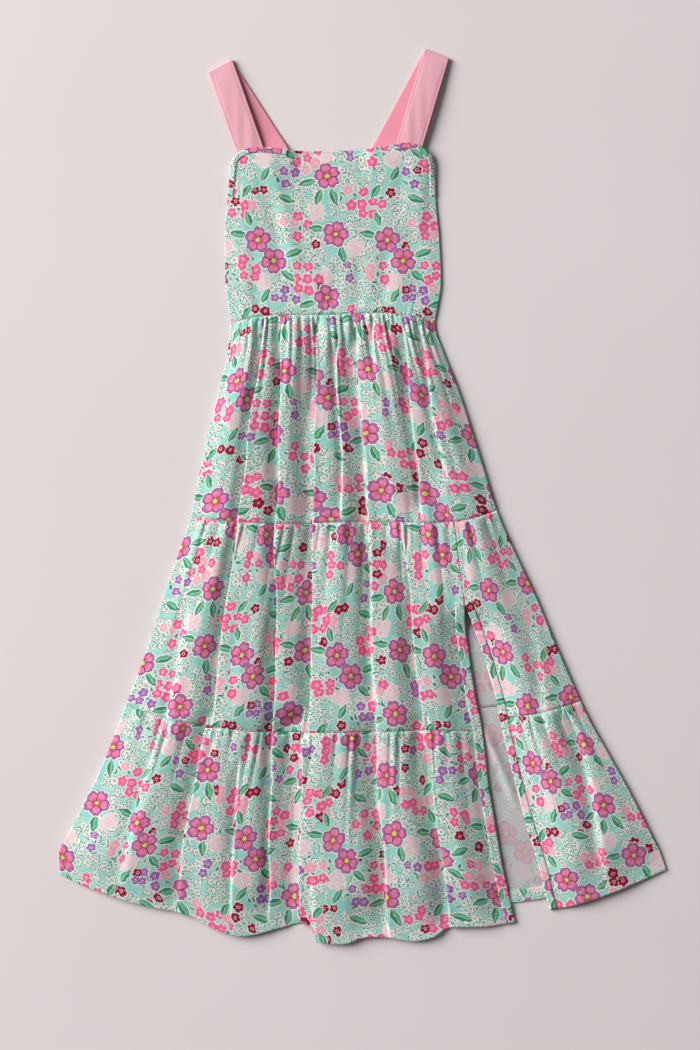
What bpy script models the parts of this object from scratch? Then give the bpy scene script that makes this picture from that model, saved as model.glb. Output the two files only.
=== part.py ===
"""A sleeveless tiered dress with wide straps and a slit, laid flat on its back.

Every piece is a sheet of cloth with a real wall. The lower layer, the dress's back, rests on the
ground plane; the upper layer, its front, lies on it and bows up in the gathers and the long folds.

Sizes in the tables are millimetres on the laid garment: "across" counts from the middle of the
neckline towards the viewer's right, "down" from the neckline towards the hem, "level" up from the
ground. The row frame has +X along across, +Y towards the straps and +Z up.
"""

import math
from collections import namedtuple

import bmesh
import bpy
from mathutils import Vector

MM = 0.001

# Driving sizes, in millimetres
WALL = 1.5
TRIM_WALL = 1.0
SEAM_GAP = 0.4
LAYER_GAP = 0.3
STRIP_INSET = 0.5
BACK_INSET = 0.8
ARMHOLE_BINDING_WIDTH = 4.8
ARMHOLE_BINDING_DOWNS = (48.0, 30.0)
SLIT_BAND_WIDTH_LEFT = 9.0
SLIT_BAND_WIDTH_RIGHT = 7.0
SLIT_BAND_TOP_INSET = 3.0
SLIT_BAND_HEM_INSET = 1.0
SLIT_HEM_ACROSS_LEFT = 194.0
SLIT_HEM_ACROSS_RIGHT = 234.0
HEM_TURN_UP_WIDTH = 13.0
HEM_TURN_UP_START = 172.0
HEM_TURN_UP_END = 240.0
STRIP_STEPS = 24
HEM_TURN_UP_STEPS = 6

# The middle of the laid garment's box, from the neckline's middle
MIDDLE_ACROSS = 32.12
MIDDLE_DOWN = 368.48

# Levels of the front layer's outer face
EDGE_LEVEL = 3.5
SLIT_EDGE_LEVEL = 4.6
TROUGH_LEVEL = 5.4
TROUGH_SOFTNESS = 1.0
EDGE_ROLL = 17.0
SLIT_ROLL = 14.0
SLIT_OPENING_LENGTH = 40.0
SEAM_DIP = 1.2
SEAM_DIP_REACH = 6.0
HEM_REST_LEVEL = 2.2
HEM_DROP_SHARE = 0.4
HEM_DROP_REACH = 16.0

# Gathers
WAIST_GATHERS = 28
UPPER_SEAM_GATHERS_MAIN = 21
UPPER_SEAM_GATHERS_SIDE = 4
LOWER_SEAM_GATHERS_MAIN = 25
LOWER_SEAM_GATHERS_SIDE = 7
BACK_GATHERS = (20, 18, 22)
GATHER_HEIGHT = 3.3
GATHER_HOLLOW_SHARE = 0.3
GATHER_SWELL = 5.0
GATHER_LENGTH = 66.0
BACK_GATHER_HEIGHT = 1.0
PUCKER_HEIGHT = 0.9
PUCKER_LENGTH = 9.0
PUCKER_SWELL = 3.0
PUCKER_SIDE_FADE = 6.0
SAMPLES_PER_GATHER = 3
GATHER_MEAN_STRENGTH = 0.68

# Rows of points down a panel, as shares of its height
BODICE_ROWS = (0.0, 0.02, 0.07, 0.17, 0.34, 0.6, 0.85, 0.95, 1.0)
TIER_ROWS = (0.0, 0.022, 0.06, 0.15, 0.34, 0.64, 0.955, 1.0)
HEM_ROWS = (0.0, 0.025, 0.07, 0.19, 0.36, 0.64, 0.93, 1.0)
SLIT_ROWS_ABOVE = (0.0, 0.022, 0.06, 0.15)
SLIT_ROWS_AFTER_OPENING = (0.0, 0.09, 0.18, 0.34)
SLIT_ROWS_BELOW = (0.955, 1.0)
BACK_ROWS = (0.0, 0.04, 0.16, 0.45, 1.0)
BODICE_BACK_COLUMNS = 14
BODICE_BACK_ROWS = 5

UnevenWave = namedtuple("UnevenWave", "share pace phase")
OutlineRow = namedtuple("OutlineRow", "down left right")
SeamRow = namedtuple("SeamRow", "across down")
LevelRow = namedtuple("LevelRow", "down level")
FoldRow = namedtuple(
    "FoldRow", "name top_across top_down end_across end_down width_left width_right depth"
)
StrapRow = namedtuple("StrapRow", "side fold_outer fold_inner front_end back_end")

# How the gathers' heights and widths change from one to the next
GATHER_HEIGHT_WAVES = (
    UnevenWave(share=0.22, pace=2.4, phase=0.7),
    UnevenWave(share=0.16, pace=5.1, phase=0.0),
)
GATHER_WIDTH_WAVES = (
    UnevenWave(share=0.23, pace=1.95, phase=1.0),
    UnevenWave(share=0.14, pace=0.82, phase=2.0),
)
GATHER_WIDTH_SIDE_FADE = 8.0

OUTLINE = (
    OutlineRow(down=14, left=-107.6, right=107.6),
    OutlineRow(down=54, left=-112.2, right=109.4),
    OutlineRow(down=90, left=-114.6, right=112.8),
    OutlineRow(down=140, left=-113.9, right=115.0),
    OutlineRow(down=166, left=-110.6, right=111.4),
    OutlineRow(down=184, left=-108.8, right=108.4),
    OutlineRow(down=214, left=-111.4, right=117.6),
    OutlineRow(down=250, left=-119.6, right=131.6),
    OutlineRow(down=321, left=-137.0, right=154.8),
    OutlineRow(down=388, left=-150.6, right=176.2),
    OutlineRow(down=428, left=-163.7, right=193.6),
    OutlineRow(down=471, left=-178.7, right=214.0),
    OutlineRow(down=535, left=-199.0, right=241.0),
    OutlineRow(down=600, left=-223.6, right=270.0),
    OutlineRow(down=642, left=-239.7, right=293.0),
    OutlineRow(down=685, left=-259.4, right=317.0),
    OutlineRow(down=728, left=-281.2, right=338.6),
    OutlineRow(down=750, left=-291.6, right=349.6),
    OutlineRow(down=775, left=-290.6, right=357.6),
)

NECKLINE = (
    SeamRow(across=-107.6, down=14.0),
    SeamRow(across=-104.6, down=7.4),
    SeamRow(across=-97.4, down=1.2),
    SeamRow(across=-86.0, down=-2.4),
    SeamRow(across=-74.0, down=-3.0),
    SeamRow(across=-48.2, down=0.0),
    SeamRow(across=-1.1, down=0.4),
    SeamRow(across=26.8, down=-0.3),
    SeamRow(across=46.0, down=-2.7),
    SeamRow(across=66.3, down=-5.9),
    SeamRow(across=79.0, down=-7.4),
    SeamRow(across=92.4, down=-4.6),
    SeamRow(across=103.0, down=2.8),
    SeamRow(across=107.6, down=14.0),
)

WAIST = (
    SeamRow(across=-110.0, down=183.2),
    SeamRow(across=-98.4, down=180.4),
    SeamRow(across=-84.0, down=177.0),
    SeamRow(across=-58.0, down=174.5),
    SeamRow(across=0.0, down=174.2),
    SeamRow(across=53.5, down=172.0),
    SeamRow(across=77.0, down=175.0),
    SeamRow(across=94.0, down=178.0),
    SeamRow(across=109.0, down=183.0),
)

UPPER_SEAM = (
    SeamRow(across=-152.0, down=389.8),
    SeamRow(across=-124.0, down=392.8),
    SeamRow(across=-90.0, down=396.0),
    SeamRow(across=-36.0, down=397.2),
    SeamRow(across=20.0, down=395.0),
    SeamRow(across=70.0, down=395.2),
    SeamRow(across=110.0, down=396.2),
    SeamRow(across=130.0, down=394.8),
    SeamRow(across=148.0, down=391.6),
    SeamRow(across=174.0, down=383.0),
)

LOWER_SEAM_MAIN = (
    SeamRow(across=-221.0, down=591.2),
    SeamRow(across=-192.6, down=600.0),
    SeamRow(across=-164.8, down=607.4),
    SeamRow(across=-132.7, down=612.0),
    SeamRow(across=-81.3, down=618.6),
    SeamRow(across=-24.6, down=619.6),
    SeamRow(across=45.0, down=618.6),
    SeamRow(across=109.0, down=617.4),
    SeamRow(across=162.0, down=619.0),
)

LOWER_SEAM_SIDE = (
    SeamRow(across=178.0, down=606.4),
    SeamRow(across=195.0, down=603.4),
    SeamRow(across=226.0, down=597.6),
    SeamRow(across=266.0, down=586.0),
)

HEM_MAIN = (
    SeamRow(across=-292.0, down=772.4),
    SeamRow(across=-272.0, down=782.0),
    SeamRow(across=-247.0, down=791.8),
    SeamRow(across=-194.0, down=807.0),
    SeamRow(across=-151.0, down=816.0),
    SeamRow(across=-130.0, down=828.6),
    SeamRow(across=-97.0, down=838.0),
    SeamRow(across=-54.6, down=829.0),
    SeamRow(across=-30.0, down=824.2),
    SeamRow(across=-23.0, down=826.0),
    SeamRow(across=-17.0, down=844.6),
    SeamRow(across=9.6, down=846.6),
    SeamRow(across=34.0, down=839.6),
    SeamRow(across=52.4, down=838.8),
    SeamRow(across=88.0, down=843.4),
    SeamRow(across=106.0, down=839.6),
    SeamRow(across=126.0, down=828.6),
    SeamRow(across=162.0, down=827.6),
    SeamRow(across=196.0, down=823.6),
)

HEM_SIDE = (
    SeamRow(across=231.0, down=811.0),
    SeamRow(across=256.0, down=805.6),
    SeamRow(across=298.0, down=791.6),
    SeamRow(across=341.0, down=774.0),
    SeamRow(across=358.0, down=767.4),
)

# The two edges of the front where the side panel parts from the main one; the slit opens at SLIT_TOP
SLIT_TOP = 478.0
SLIT = (
    OutlineRow(down=380, left=127.3, right=127.7),
    OutlineRow(down=440, left=134.4, right=134.8),
    OutlineRow(down=478, left=139.4, right=139.9),
    OutlineRow(down=500, left=139.8, right=148.0),
    OutlineRow(down=540, left=144.8, right=162.0),
    OutlineRow(down=585, left=151.8, right=175.0),
    OutlineRow(down=620, left=158.9, right=182.2),
    OutlineRow(down=675, left=165.0, right=195.5),
    OutlineRow(down=720, left=172.6, right=207.6),
    OutlineRow(down=765, left=180.4, right=221.0),
    OutlineRow(down=795, left=187.3, right=228.5),
    OutlineRow(down=825, left=194.2, right=236.5),
)

BACK_NECKLINE = (
    SeamRow(across=-106.4, down=19.0),
    SeamRow(across=-102.0, down=10.0),
    SeamRow(across=-93.0, down=5.0),
    SeamRow(across=0.0, down=4.0),
    SeamRow(across=93.0, down=5.0),
    SeamRow(across=102.0, down=10.0),
    SeamRow(across=106.4, down=19.0),
)
BACK_WAIST = (
    SeamRow(across=-109.0, down=182.0),
    SeamRow(across=0.0, down=177.0),
    SeamRow(across=108.0, down=182.0),
)
BACK_UPPER_SEAM = (
    SeamRow(across=-152.0, down=384.0),
    SeamRow(across=0.0, down=390.0),
    SeamRow(across=174.0, down=380.0),
)
BACK_LOWER_SEAM = (
    SeamRow(across=-221.0, down=584.0),
    SeamRow(across=0.0, down=604.0),
    SeamRow(across=170.0, down=593.8),
    SeamRow(across=266.0, down=580.0),
)
BACK_HEM = (
    SeamRow(across=-288.0, down=756.0),
    SeamRow(across=-200.0, down=788.0),
    SeamRow(across=-100.0, down=811.0),
    SeamRow(across=0.0, down=820.0),
    SeamRow(across=100.0, down=817.0),
    SeamRow(across=202.0, down=801.0),
    SeamRow(across=226.0, down=797.6),
    SeamRow(across=300.0, down=775.0),
    SeamRow(across=352.0, down=753.0),
)

FRONT_LEVEL = (
    LevelRow(down=-10, level=5.4),
    LevelRow(down=150, level=5.4),
    LevelRow(down=184, level=6.8),
    LevelRow(down=240, level=9.8),
    LevelRow(down=396, level=9.6),
    LevelRow(down=470, level=10.8),
    LevelRow(down=620, level=10.2),
    LevelRow(down=740, level=11.6),
    LevelRow(down=850, level=10.8),
)

# Long troughs of the skirt's front and, with a negative depth, its long ridges
FOLDS = (
    FoldRow("middle_upper", -15.5, 176, -14.5, 640, 10.0, 3.6, 7.0),
    FoldRow("middle_lower", -33.0, 590, -27.0, 880, 16.0, 4.5, 7.4),
    FoldRow("left_first", -74.0, 178, -84.0, 400, 9.5, 4.5, 5.2),
    FoldRow("left_second", -56.0, 176, -64.0, 640, 7.5, 4.0, 4.8),
    FoldRow("left_lower", -70.0, 600, -84.0, 830, 12.0, 6.0, 4.4),
    FoldRow("right_first", 24.0, 186, 46.0, 560, 9.5, 5.0, 4.6),
    FoldRow("right_short", 42.0, 172, 44.0, 246, 5.5, 3.5, 3.6),
    FoldRow("right_second", 73.0, 184, 95.0, 380, 8.5, 4.5, 5.0),
    FoldRow("right_edge", 90.0, 176, 119.0, 340, 8.0, 4.0, 4.6),
    FoldRow("right_long", 76.0, 420, 126.0, 820, 14.0, 5.5, 7.4),
    FoldRow("right_lower", 42.0, 596, 56.0, 820, 11.0, 5.0, 5.2),
    FoldRow("left_edge", -112.0, 280, -96.0, 560, 10.0, 5.0, 4.0),
    FoldRow("left_hem", -138.0, 596, -158.0, 830, 14.0, 7.0, 4.8),
    FoldRow("left_far", -196.0, 620, -236.0, 800, 14.0, 8.0, 3.6),
    FoldRow("side_hem", 252.0, 590, 288.0, 790, 14.0, 8.0, 3.6),
    FoldRow("middle_ridge", 6.0, 360, 8.0, 760, 15.0, 17.0, -2.0),
    FoldRow("left_ridge", -104.0, 560, -116.0, 830, 15.0, 13.0, -2.2),
    FoldRow("right_ridge", 74.0, 600, 88.0, 850, 12.0, 12.0, -2.0),
)
FOLD_FADE = 34.0
FOLD_MARGIN = 0.2

# Where the strap ends lie under the bodice front and lift it
STRAP_LIFT = 2.3
STRAP_EDGE_LIFT = 3.8
STRAP_LIFT_REACH_ACROSS = 28.0
STRAP_LIFT_REACH_DOWN = 38.0
STRAP_LIFT_MIDDLES = (-76.0, 71.0)
STRAP_LIFT_LIMIT = 14.0

STRAPS = (
    StrapRow("left", (-132.4, -82.6), (-107.0, -96.4), (-88.2, -1.0), (-63.2, -1.0)),
    StrapRow("right", (123.6, -97.4), (97.6, -107.4), (81.8, -6.0), (58.6, -6.0)),
)
STRAP_UNDERLAP = 11.0
STRAP_BACK_EXTRA = 6.0
STRAP_RISE_END = 3.0
STRAP_COLUMNS = 4
STRAP_TURN_STEPS = 6
STRAP_FRONT_ROWS = (1.0, 0.88, 0.72, 0.5, 0.25, 0.08, 0.0)
STRAP_BACK_ROWS = (0.0, 0.3, 0.55, 0.68, 0.76, 0.84, 0.92, 1.0)
STRAP_FOLD_RADIUS = 1.6
STRAP_REST_LEVEL = 0.5 * WALL
STRAP_RISE_LENGTH = 26.0
STRAP_BACK_END_LEVEL = WALL + LAYER_GAP + 0.5 * WALL
STRAP_FRONT_END_LEVEL = STRAP_BACK_END_LEVEL + WALL + LAYER_GAP


def smooth_step(x):
    x = min(max(x, 0.0), 1.0)
    return x * x * (3.0 - 2.0 * x)


def mix(a, b, t):
    return a + (b - a) * t


def smooth_curve(pairs):
    """A function through (position, value) pairs, without overshoot, straight past both ends."""
    xs = [p[0] for p in pairs]
    ys = [p[1] for p in pairs]
    slopes = [(ys[i + 1] - ys[i]) / (xs[i + 1] - xs[i]) for i in range(len(xs) - 1)]
    tangents = [slopes[0]]
    for before, after in zip(slopes, slopes[1:]):
        same_way = before * after > 0
        tangents.append(2 * before * after / (before + after) if same_way else 0.0)
    tangents.append(slopes[-1])

    def value(x):
        if x <= xs[0]:
            return ys[0] + tangents[0] * (x - xs[0])
        if x >= xs[-1]:
            return ys[-1] + tangents[-1] * (x - xs[-1])
        i = max(k for k in range(len(xs) - 1) if xs[k] <= x)
        span = xs[i + 1] - xs[i]
        t = (x - xs[i]) / span
        return (
            (1 + 2 * t) * (1 - t) ** 2 * ys[i]
            + t * (1 - t) ** 2 * span * tangents[i]
            + t * t * (3 - 2 * t) * ys[i + 1]
            + t * t * (t - 1) * span * tangents[i + 1]
        )

    return value


def seam_curve(rows):
    return smooth_curve([(row.across, row.down) for row in rows])


def path_by_length(rows):
    """A function from 0..1 to (across, down), by length along a smooth path through the rows."""
    points = [Vector((row.across, row.down)) for row in rows]
    dense = []
    for i in range(len(points) - 1):
        before = points[max(i - 1, 0)]
        after = points[min(i + 2, len(points) - 1)]
        start, end = points[i], points[i + 1]
        for k in range(8):
            t = k / 8
            dense.append(
                0.5
                * (
                    2 * start
                    + (end - before) * t
                    + (2 * before - 5 * start + 4 * end - after) * t * t
                    + (3 * start - before - 3 * end + after) * t * t * t
                )
            )
    dense.append(points[-1])
    lengths = [0.0]
    for a, b in zip(dense, dense[1:]):
        lengths.append(lengths[-1] + (b - a).length)

    def place(u):
        target = min(max(u, 0.0), 1.0) * lengths[-1]
        i = 0
        while i < len(dense) - 2 and lengths[i + 1] < target:
            i += 1
        t = (target - lengths[i]) / (lengths[i + 1] - lengths[i])
        return dense[i].lerp(dense[i + 1], t)

    return place


outline_left = smooth_curve([(row.down, row.left) for row in OUTLINE])
outline_right = smooth_curve([(row.down, row.right) for row in OUTLINE])
slit_left = smooth_curve([(row.down, row.left) for row in SLIT])
slit_right = smooth_curve([(row.down, row.right) for row in SLIT])
front_level_by_down = smooth_curve([(row.down, row.level) for row in FRONT_LEVEL])
waist = seam_curve(WAIST)
upper_seam = seam_curve(UPPER_SEAM)
lower_seam_main = seam_curve(LOWER_SEAM_MAIN)
lower_seam_side = seam_curve(LOWER_SEAM_SIDE)
hem_main = seam_curve(HEM_MAIN)
hem_side = seam_curve(HEM_SIDE)
neckline = path_by_length(NECKLINE)


def fold_depth(row, across, down):
    """How deep one long fold is at a place."""
    t = (down - row.top_down) / (row.end_down - row.top_down)
    if t < -FOLD_MARGIN or t > 1.0 + FOLD_MARGIN:
        return 0.0
    middle = mix(row.top_across, row.end_across, t)
    width = row.width_left if across < middle else row.width_right
    profile = math.exp(-(((across - middle) / width) ** 2))
    fade = smooth_step((down - row.top_down) / FOLD_FADE)
    fade *= smooth_step((row.end_down - down) / FOLD_FADE)
    return row.depth * profile * fade


def strap_share(across, down):
    """From 0 to 1, how near the strap ends that lie under the bodice front a place is."""
    fade = 1.0 - smooth_step((down - STRAP_UNDERLAP) / STRAP_LIFT_REACH_DOWN)
    share = 0.0
    for middle in STRAP_LIFT_MIDDLES:
        beyond = max(abs(across - middle) - STRAP_LIFT_REACH_ACROSS, 0.0)
        share = max(share, 1.0 - smooth_step(beyond / STRAP_LIFT_LIMIT))
    return share * fade


def seam_dip(across, down):
    """Each seam of the front lies a little lower than the cloth beside it."""
    lower = lower_seam_main if across < slit_left(down) else lower_seam_side
    dip = 0.0
    for seam in (waist, upper_seam, lower):
        dip = max(dip, math.exp(-(((down - seam(across)) / SEAM_DIP_REACH) ** 2)))
    return SEAM_DIP * dip


def from_slit(across, down):
    """How far a place of the front lies from its own panel's slit edge."""
    if across <= slit_left(down) + SEAM_GAP:
        return slit_left(down) - across
    return across - slit_right(down)


def gather_room(across, down):
    """From 0 to 1: the gathers stay off the strips along the slit."""
    opened = smooth_step((down - SLIT_TOP) / SLIT_ROLL + 1.0)
    beside = smooth_step((from_slit(across, down) - SLIT_BAND_WIDTH_LEFT) / SLIT_ROLL)
    return 1.0 - opened * (1.0 - beside)


def front_level(across, down):
    """The level of the front layer's outer face, without its gathers."""
    from_side = min(across - outline_left(down), outline_right(down) - across)
    rise = smooth_step(from_side / EDGE_ROLL)
    strap = strap_share(across, down)
    level = front_level_by_down(down) + STRAP_LIFT * strap
    for row in FOLDS:
        level -= fold_depth(row, across, down)
    level -= seam_dip(across, down)
    low = TROUGH_LEVEL + STRAP_LIFT * strap
    over = level - low - TROUGH_SOFTNESS
    if over < 0.0:
        level = low + TROUGH_SOFTNESS * math.exp(over / TROUGH_SOFTNESS)
    opened = smooth_step((down - SLIT_TOP) / SLIT_OPENING_LENGTH)
    share = 1.0 - opened * (1.0 - smooth_step(from_slit(across, down) / SLIT_ROLL))
    level = mix(SLIT_EDGE_LEVEL, level, share)
    level = mix(EDGE_LEVEL + STRAP_EDGE_LIFT * strap, level, rise)
    hem = hem_main if across <= slit_left(down) + SEAM_GAP else hem_side
    near_hem = 1.0 - smooth_step((hem(across) - down) / HEM_DROP_REACH)
    return level - HEM_DROP_SHARE * near_hem * (level - HEM_REST_LEVEL)


def gather_strength(index):
    """Each gather's own share of the full height, uneven from one to the next."""
    strength = GATHER_MEAN_STRENGTH
    for row in GATHER_HEIGHT_WAVES:
        strength += row.share * math.sin(row.pace * index + row.phase)
    return strength


def uneven_fractions(gathers, phase):
    """Column places from 0 to 1, three to a gather, with gathers of uneven width."""
    count = gathers * SAMPLES_PER_GATHER
    places = []
    for i in range(count + 1):
        u = i / count
        shift = 0.0
        for row in GATHER_WIDTH_WAVES:
            shift += row.share * math.sin(row.pace * gathers * u + row.phase * phase)
        inside = smooth_step(GATHER_WIDTH_SIDE_FADE * min(u, 1 - u))
        places.append(u + shift * inside / gathers)
    return places


def meeting_place(side, seam, guess):
    """Where a side edge meets a seam, as its across value."""
    across = guess
    for _ in range(12):
        across = side(seam(across))
    return across


def edge_along_seam(seam, side_a, side_b, shift):
    """A panel's edge on a seam, from one side edge to the other, moved down by shift."""

    def moved(across):
        return seam(across) + shift

    start = meeting_place(side_a, moved, side_a(moved(0.0)))
    end = meeting_place(side_b, moved, side_b(moved(0.0)))

    def place(u):
        across = mix(start, end, u)
        return Vector((across, moved(across)))

    return place


def edge_between(side, start, end):
    """A panel's side edge, between the ends of its top and bottom edges."""

    def place(v):
        down = mix(start.y, end.y, v)
        return Vector((side(down), down))

    return place


def patch(top, bottom, left, right):
    """The place (across, down) inside four edges at fractions u across and v down."""

    def place(u, v):
        from_rows = top(u).lerp(bottom(u), v)
        from_sides = left(v).lerp(right(v), u)
        corners = top(0).lerp(top(1), u).lerp(bottom(0).lerp(bottom(1), u), v)
        return from_rows + from_sides - corners

    return place


def panel_patch(top_seam, bottom_seam, side_a, side_b, top_shift, bottom_shift):
    top = edge_along_seam(top_seam, side_a, side_b, top_shift)
    bottom = edge_along_seam(bottom_seam, side_a, side_b, bottom_shift)
    left = edge_between(side_a, top(0), bottom(0))
    right = edge_between(side_b, top(1), bottom(1))
    return patch(top, bottom, left, right)


def to_row(across, down, level):
    return Vector(
        (
            (across - MIDDLE_ACROSS) * MM,
            (MIDDLE_DOWN - down) * MM,
            level * MM,
        )
    )


def plain_material(name, colour, roughness):
    material = bpy.data.materials.new(name)
    material.use_nodes = True
    shader = material.node_tree.nodes["Principled BSDF"]
    shader.inputs["Base Color"].default_value = (*colour, 1.0)
    shader.inputs["Roughness"].default_value = roughness
    shader.inputs["Metallic"].default_value = 0.0
    material.diffuse_color = (*colour, 1.0)
    return material


def sheet_object(name, grid, wall, offset, material, collection):
    """A cloth piece: an open grid of points thickened by Solidify. offset -1 keeps the grid as
    the outer face, +1 as the underside and 0 as the middle of the wall."""
    mesh = bpy.data.meshes.new(name)
    build = bmesh.new()
    verts = [[build.verts.new(point) for point in row] for row in grid]
    for upper, lower in zip(verts, verts[1:]):
        for i in range(len(upper) - 1):
            build.faces.new((upper[i], lower[i], lower[i + 1], upper[i + 1]))
    build.normal_update()
    build.to_mesh(mesh)
    build.free()
    mesh.shade_smooth()
    piece = bpy.data.objects.new(name, mesh)
    collection.objects.link(piece)
    shell = piece.modifiers.new("wall", "SOLIDIFY")
    shell.thickness = wall * MM
    shell.offset = offset
    shell.use_even_offset = True
    shell.use_quality_normals = True
    piece.data.materials.append(material)
    return piece


def front_panel_grid(place, columns, rows, gathers, gather_shift):
    """A front panel's outer points, with the gathers that hang from its top edge."""
    grid = []
    for v in rows:
        line = []
        for i, u in enumerate(columns):
            spot = place(u, v)
            below = (spot - place(u, 0.0)).length
            level = front_level(spot.x, spot.y)
            turn = i / SAMPLES_PER_GATHER
            strength = gather_strength(math.floor(turn + 0.5) + gather_shift)
            swell = 1.0 - math.exp(-below / GATHER_SWELL)
            fade = math.exp(-below / (GATHER_LENGTH * strength))
            from_edge = smooth_step(min(u, 1 - u) * gathers)
            room = from_edge * gather_room(spot.x, spot.y)
            wave = math.cos(2 * math.pi * turn) * GATHER_HEIGHT * strength
            level += max(wave, GATHER_HOLLOW_SHARE * wave) * swell * fade * room
            line.append(to_row(spot.x, spot.y, level))
        grid.append(line)
    return grid


def bodice_front_place():
    bottom = edge_along_seam(waist, outline_left, outline_right, -SEAM_GAP)
    left = edge_between(outline_left, neckline(0), bottom(0))
    right = edge_between(outline_right, neckline(1), bottom(1))
    return patch(neckline, bottom, left, right)


def bodice_front_grid(place):
    grid = []
    for v in BODICE_ROWS:
        line = []
        for i, u in enumerate(even_fractions(2 * WAIST_GATHERS)):
            spot = place(u, v)
            above = (place(u, 1.0) - spot).length
            pucker = PUCKER_HEIGHT * math.exp(-above / PUCKER_LENGTH) if i % 2 else 0.0
            pucker *= smooth_step(PUCKER_SIDE_FADE * min(u, 1 - u))
            pucker *= smooth_step(above / PUCKER_SWELL)
            line.append(to_row(spot.x, spot.y, front_level(spot.x, spot.y) + pucker))
        grid.append(line)
    return grid


def back_panel_grid(place, columns, rows, gathers):
    """A back panel's underside, flat on the ground but for the small gathers below its seam."""
    grid = []
    for v in rows:
        line = []
        for i, u in enumerate(columns):
            spot = place(u, v)
            level = 0.0
            if gathers and i % SAMPLES_PER_GATHER == 0:
                below = (spot - place(u, 0.0)).length
                from_side = min(
                    spot.x - outline_left(spot.y), outline_right(spot.y) - spot.x
                )
                swell = smooth_step(below / GATHER_SWELL)
                fade = math.exp(-below / GATHER_LENGTH)
                inside = smooth_step((from_side - EDGE_ROLL) / EDGE_ROLL)
                strength = gather_strength(i // SAMPLES_PER_GATHER)
                level = BACK_GATHER_HEIGHT * strength * swell * fade * inside
            line.append(to_row(spot.x, spot.y, level))
        grid.append(line)
    return grid


def strip_grid(along, inward, width, steps, level_at, lift):
    """A narrow strip beside an edge path, lying on a panel and made from its levels.
    along gives the edge by a fraction, inward the unit way to the panel's inside."""
    grid = []
    for k in range(steps + 1):
        t = k / steps
        spot = along(t)
        way = inward(t)
        line = []
        for share in (0.0, 0.5, 1.0):
            at = spot + way * (STRIP_INSET + width * share)
            line.append(to_row(at.x, at.y, level_at(at.x, at.y) + lift))
        grid.append(line)
    return grid


def inward_of(path, side):
    """The unit way across a path, to the right of its run if side is 1, or left if -1."""

    def way(t):
        a = path(max(t - 0.01, 0.0))
        b = path(min(t + 0.01, 1.0))
        run = (b - a).normalized()
        return Vector((-run.y, run.x)) * side

    return way


def strap_grid(row):
    """A strap as one ribbon: the front stretch, the turn over the shoulder fold and the back
    stretch, which runs down under the front one to the back's neckline."""
    outer = Vector(row.fold_outer)
    inner = Vector(row.fold_inner)
    fold_middle = (outer + inner) / 2
    front_way = (Vector(row.front_end) - fold_middle).normalized()
    back_way = (Vector(row.back_end) - fold_middle).normalized()
    fold_line = (inner - outer).normalized()
    away = Vector((fold_line.y, -fold_line.x))
    if away.dot(front_way) > 0:
        away = -away
    front_end_down = row.front_end[1] + STRAP_UNDERLAP
    back_end_down = row.back_end[1] + STRAP_UNDERLAP + STRAP_BACK_EXTRA
    rise_end_down = BACK_NECKLINE[3].down - STRAP_RISE_END
    top_level = STRAP_REST_LEVEL + 2 * STRAP_FOLD_RADIUS
    shares = even_fractions(STRAP_COLUMNS)
    grid = []
    for share in STRAP_FRONT_ROWS:
        line = []
        for a in shares:
            start = outer.lerp(inner, a)
            length = (front_end_down - start.y) / front_way.y
            spot = start + front_way * length * share
            level = mix(top_level, STRAP_FRONT_END_LEVEL, smooth_step(share))
            line.append(to_row(spot.x, spot.y, level))
        grid.append(line)
    for k in range(1, STRAP_TURN_STEPS):
        angle = math.pi * k / STRAP_TURN_STEPS
        line = []
        for a in shares:
            spot = outer.lerp(inner, a) + away * STRAP_FOLD_RADIUS * math.sin(angle)
            level = STRAP_REST_LEVEL + STRAP_FOLD_RADIUS * (1 + math.cos(angle))
            line.append(to_row(spot.x, spot.y, level))
        grid.append(line)
    for share in STRAP_BACK_ROWS:
        line = []
        for a in shares:
            start = outer.lerp(inner, a)
            length = (back_end_down - start.y) / back_way.y
            spot = start + back_way * length * share
            to_neckline = (rise_end_down - spot.y) / back_way.y
            rise = 1.0 - smooth_step(to_neckline / STRAP_RISE_LENGTH)
            level = mix(STRAP_REST_LEVEL, STRAP_BACK_END_LEVEL, rise)
            line.append(to_row(spot.x, spot.y, level))
        grid.append(line)
    if row.side == "left":
        grid = [list(reversed(line)) for line in grid]
    return grid


def even_fractions(count):
    return [i / count for i in range(count + 1)]


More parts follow.
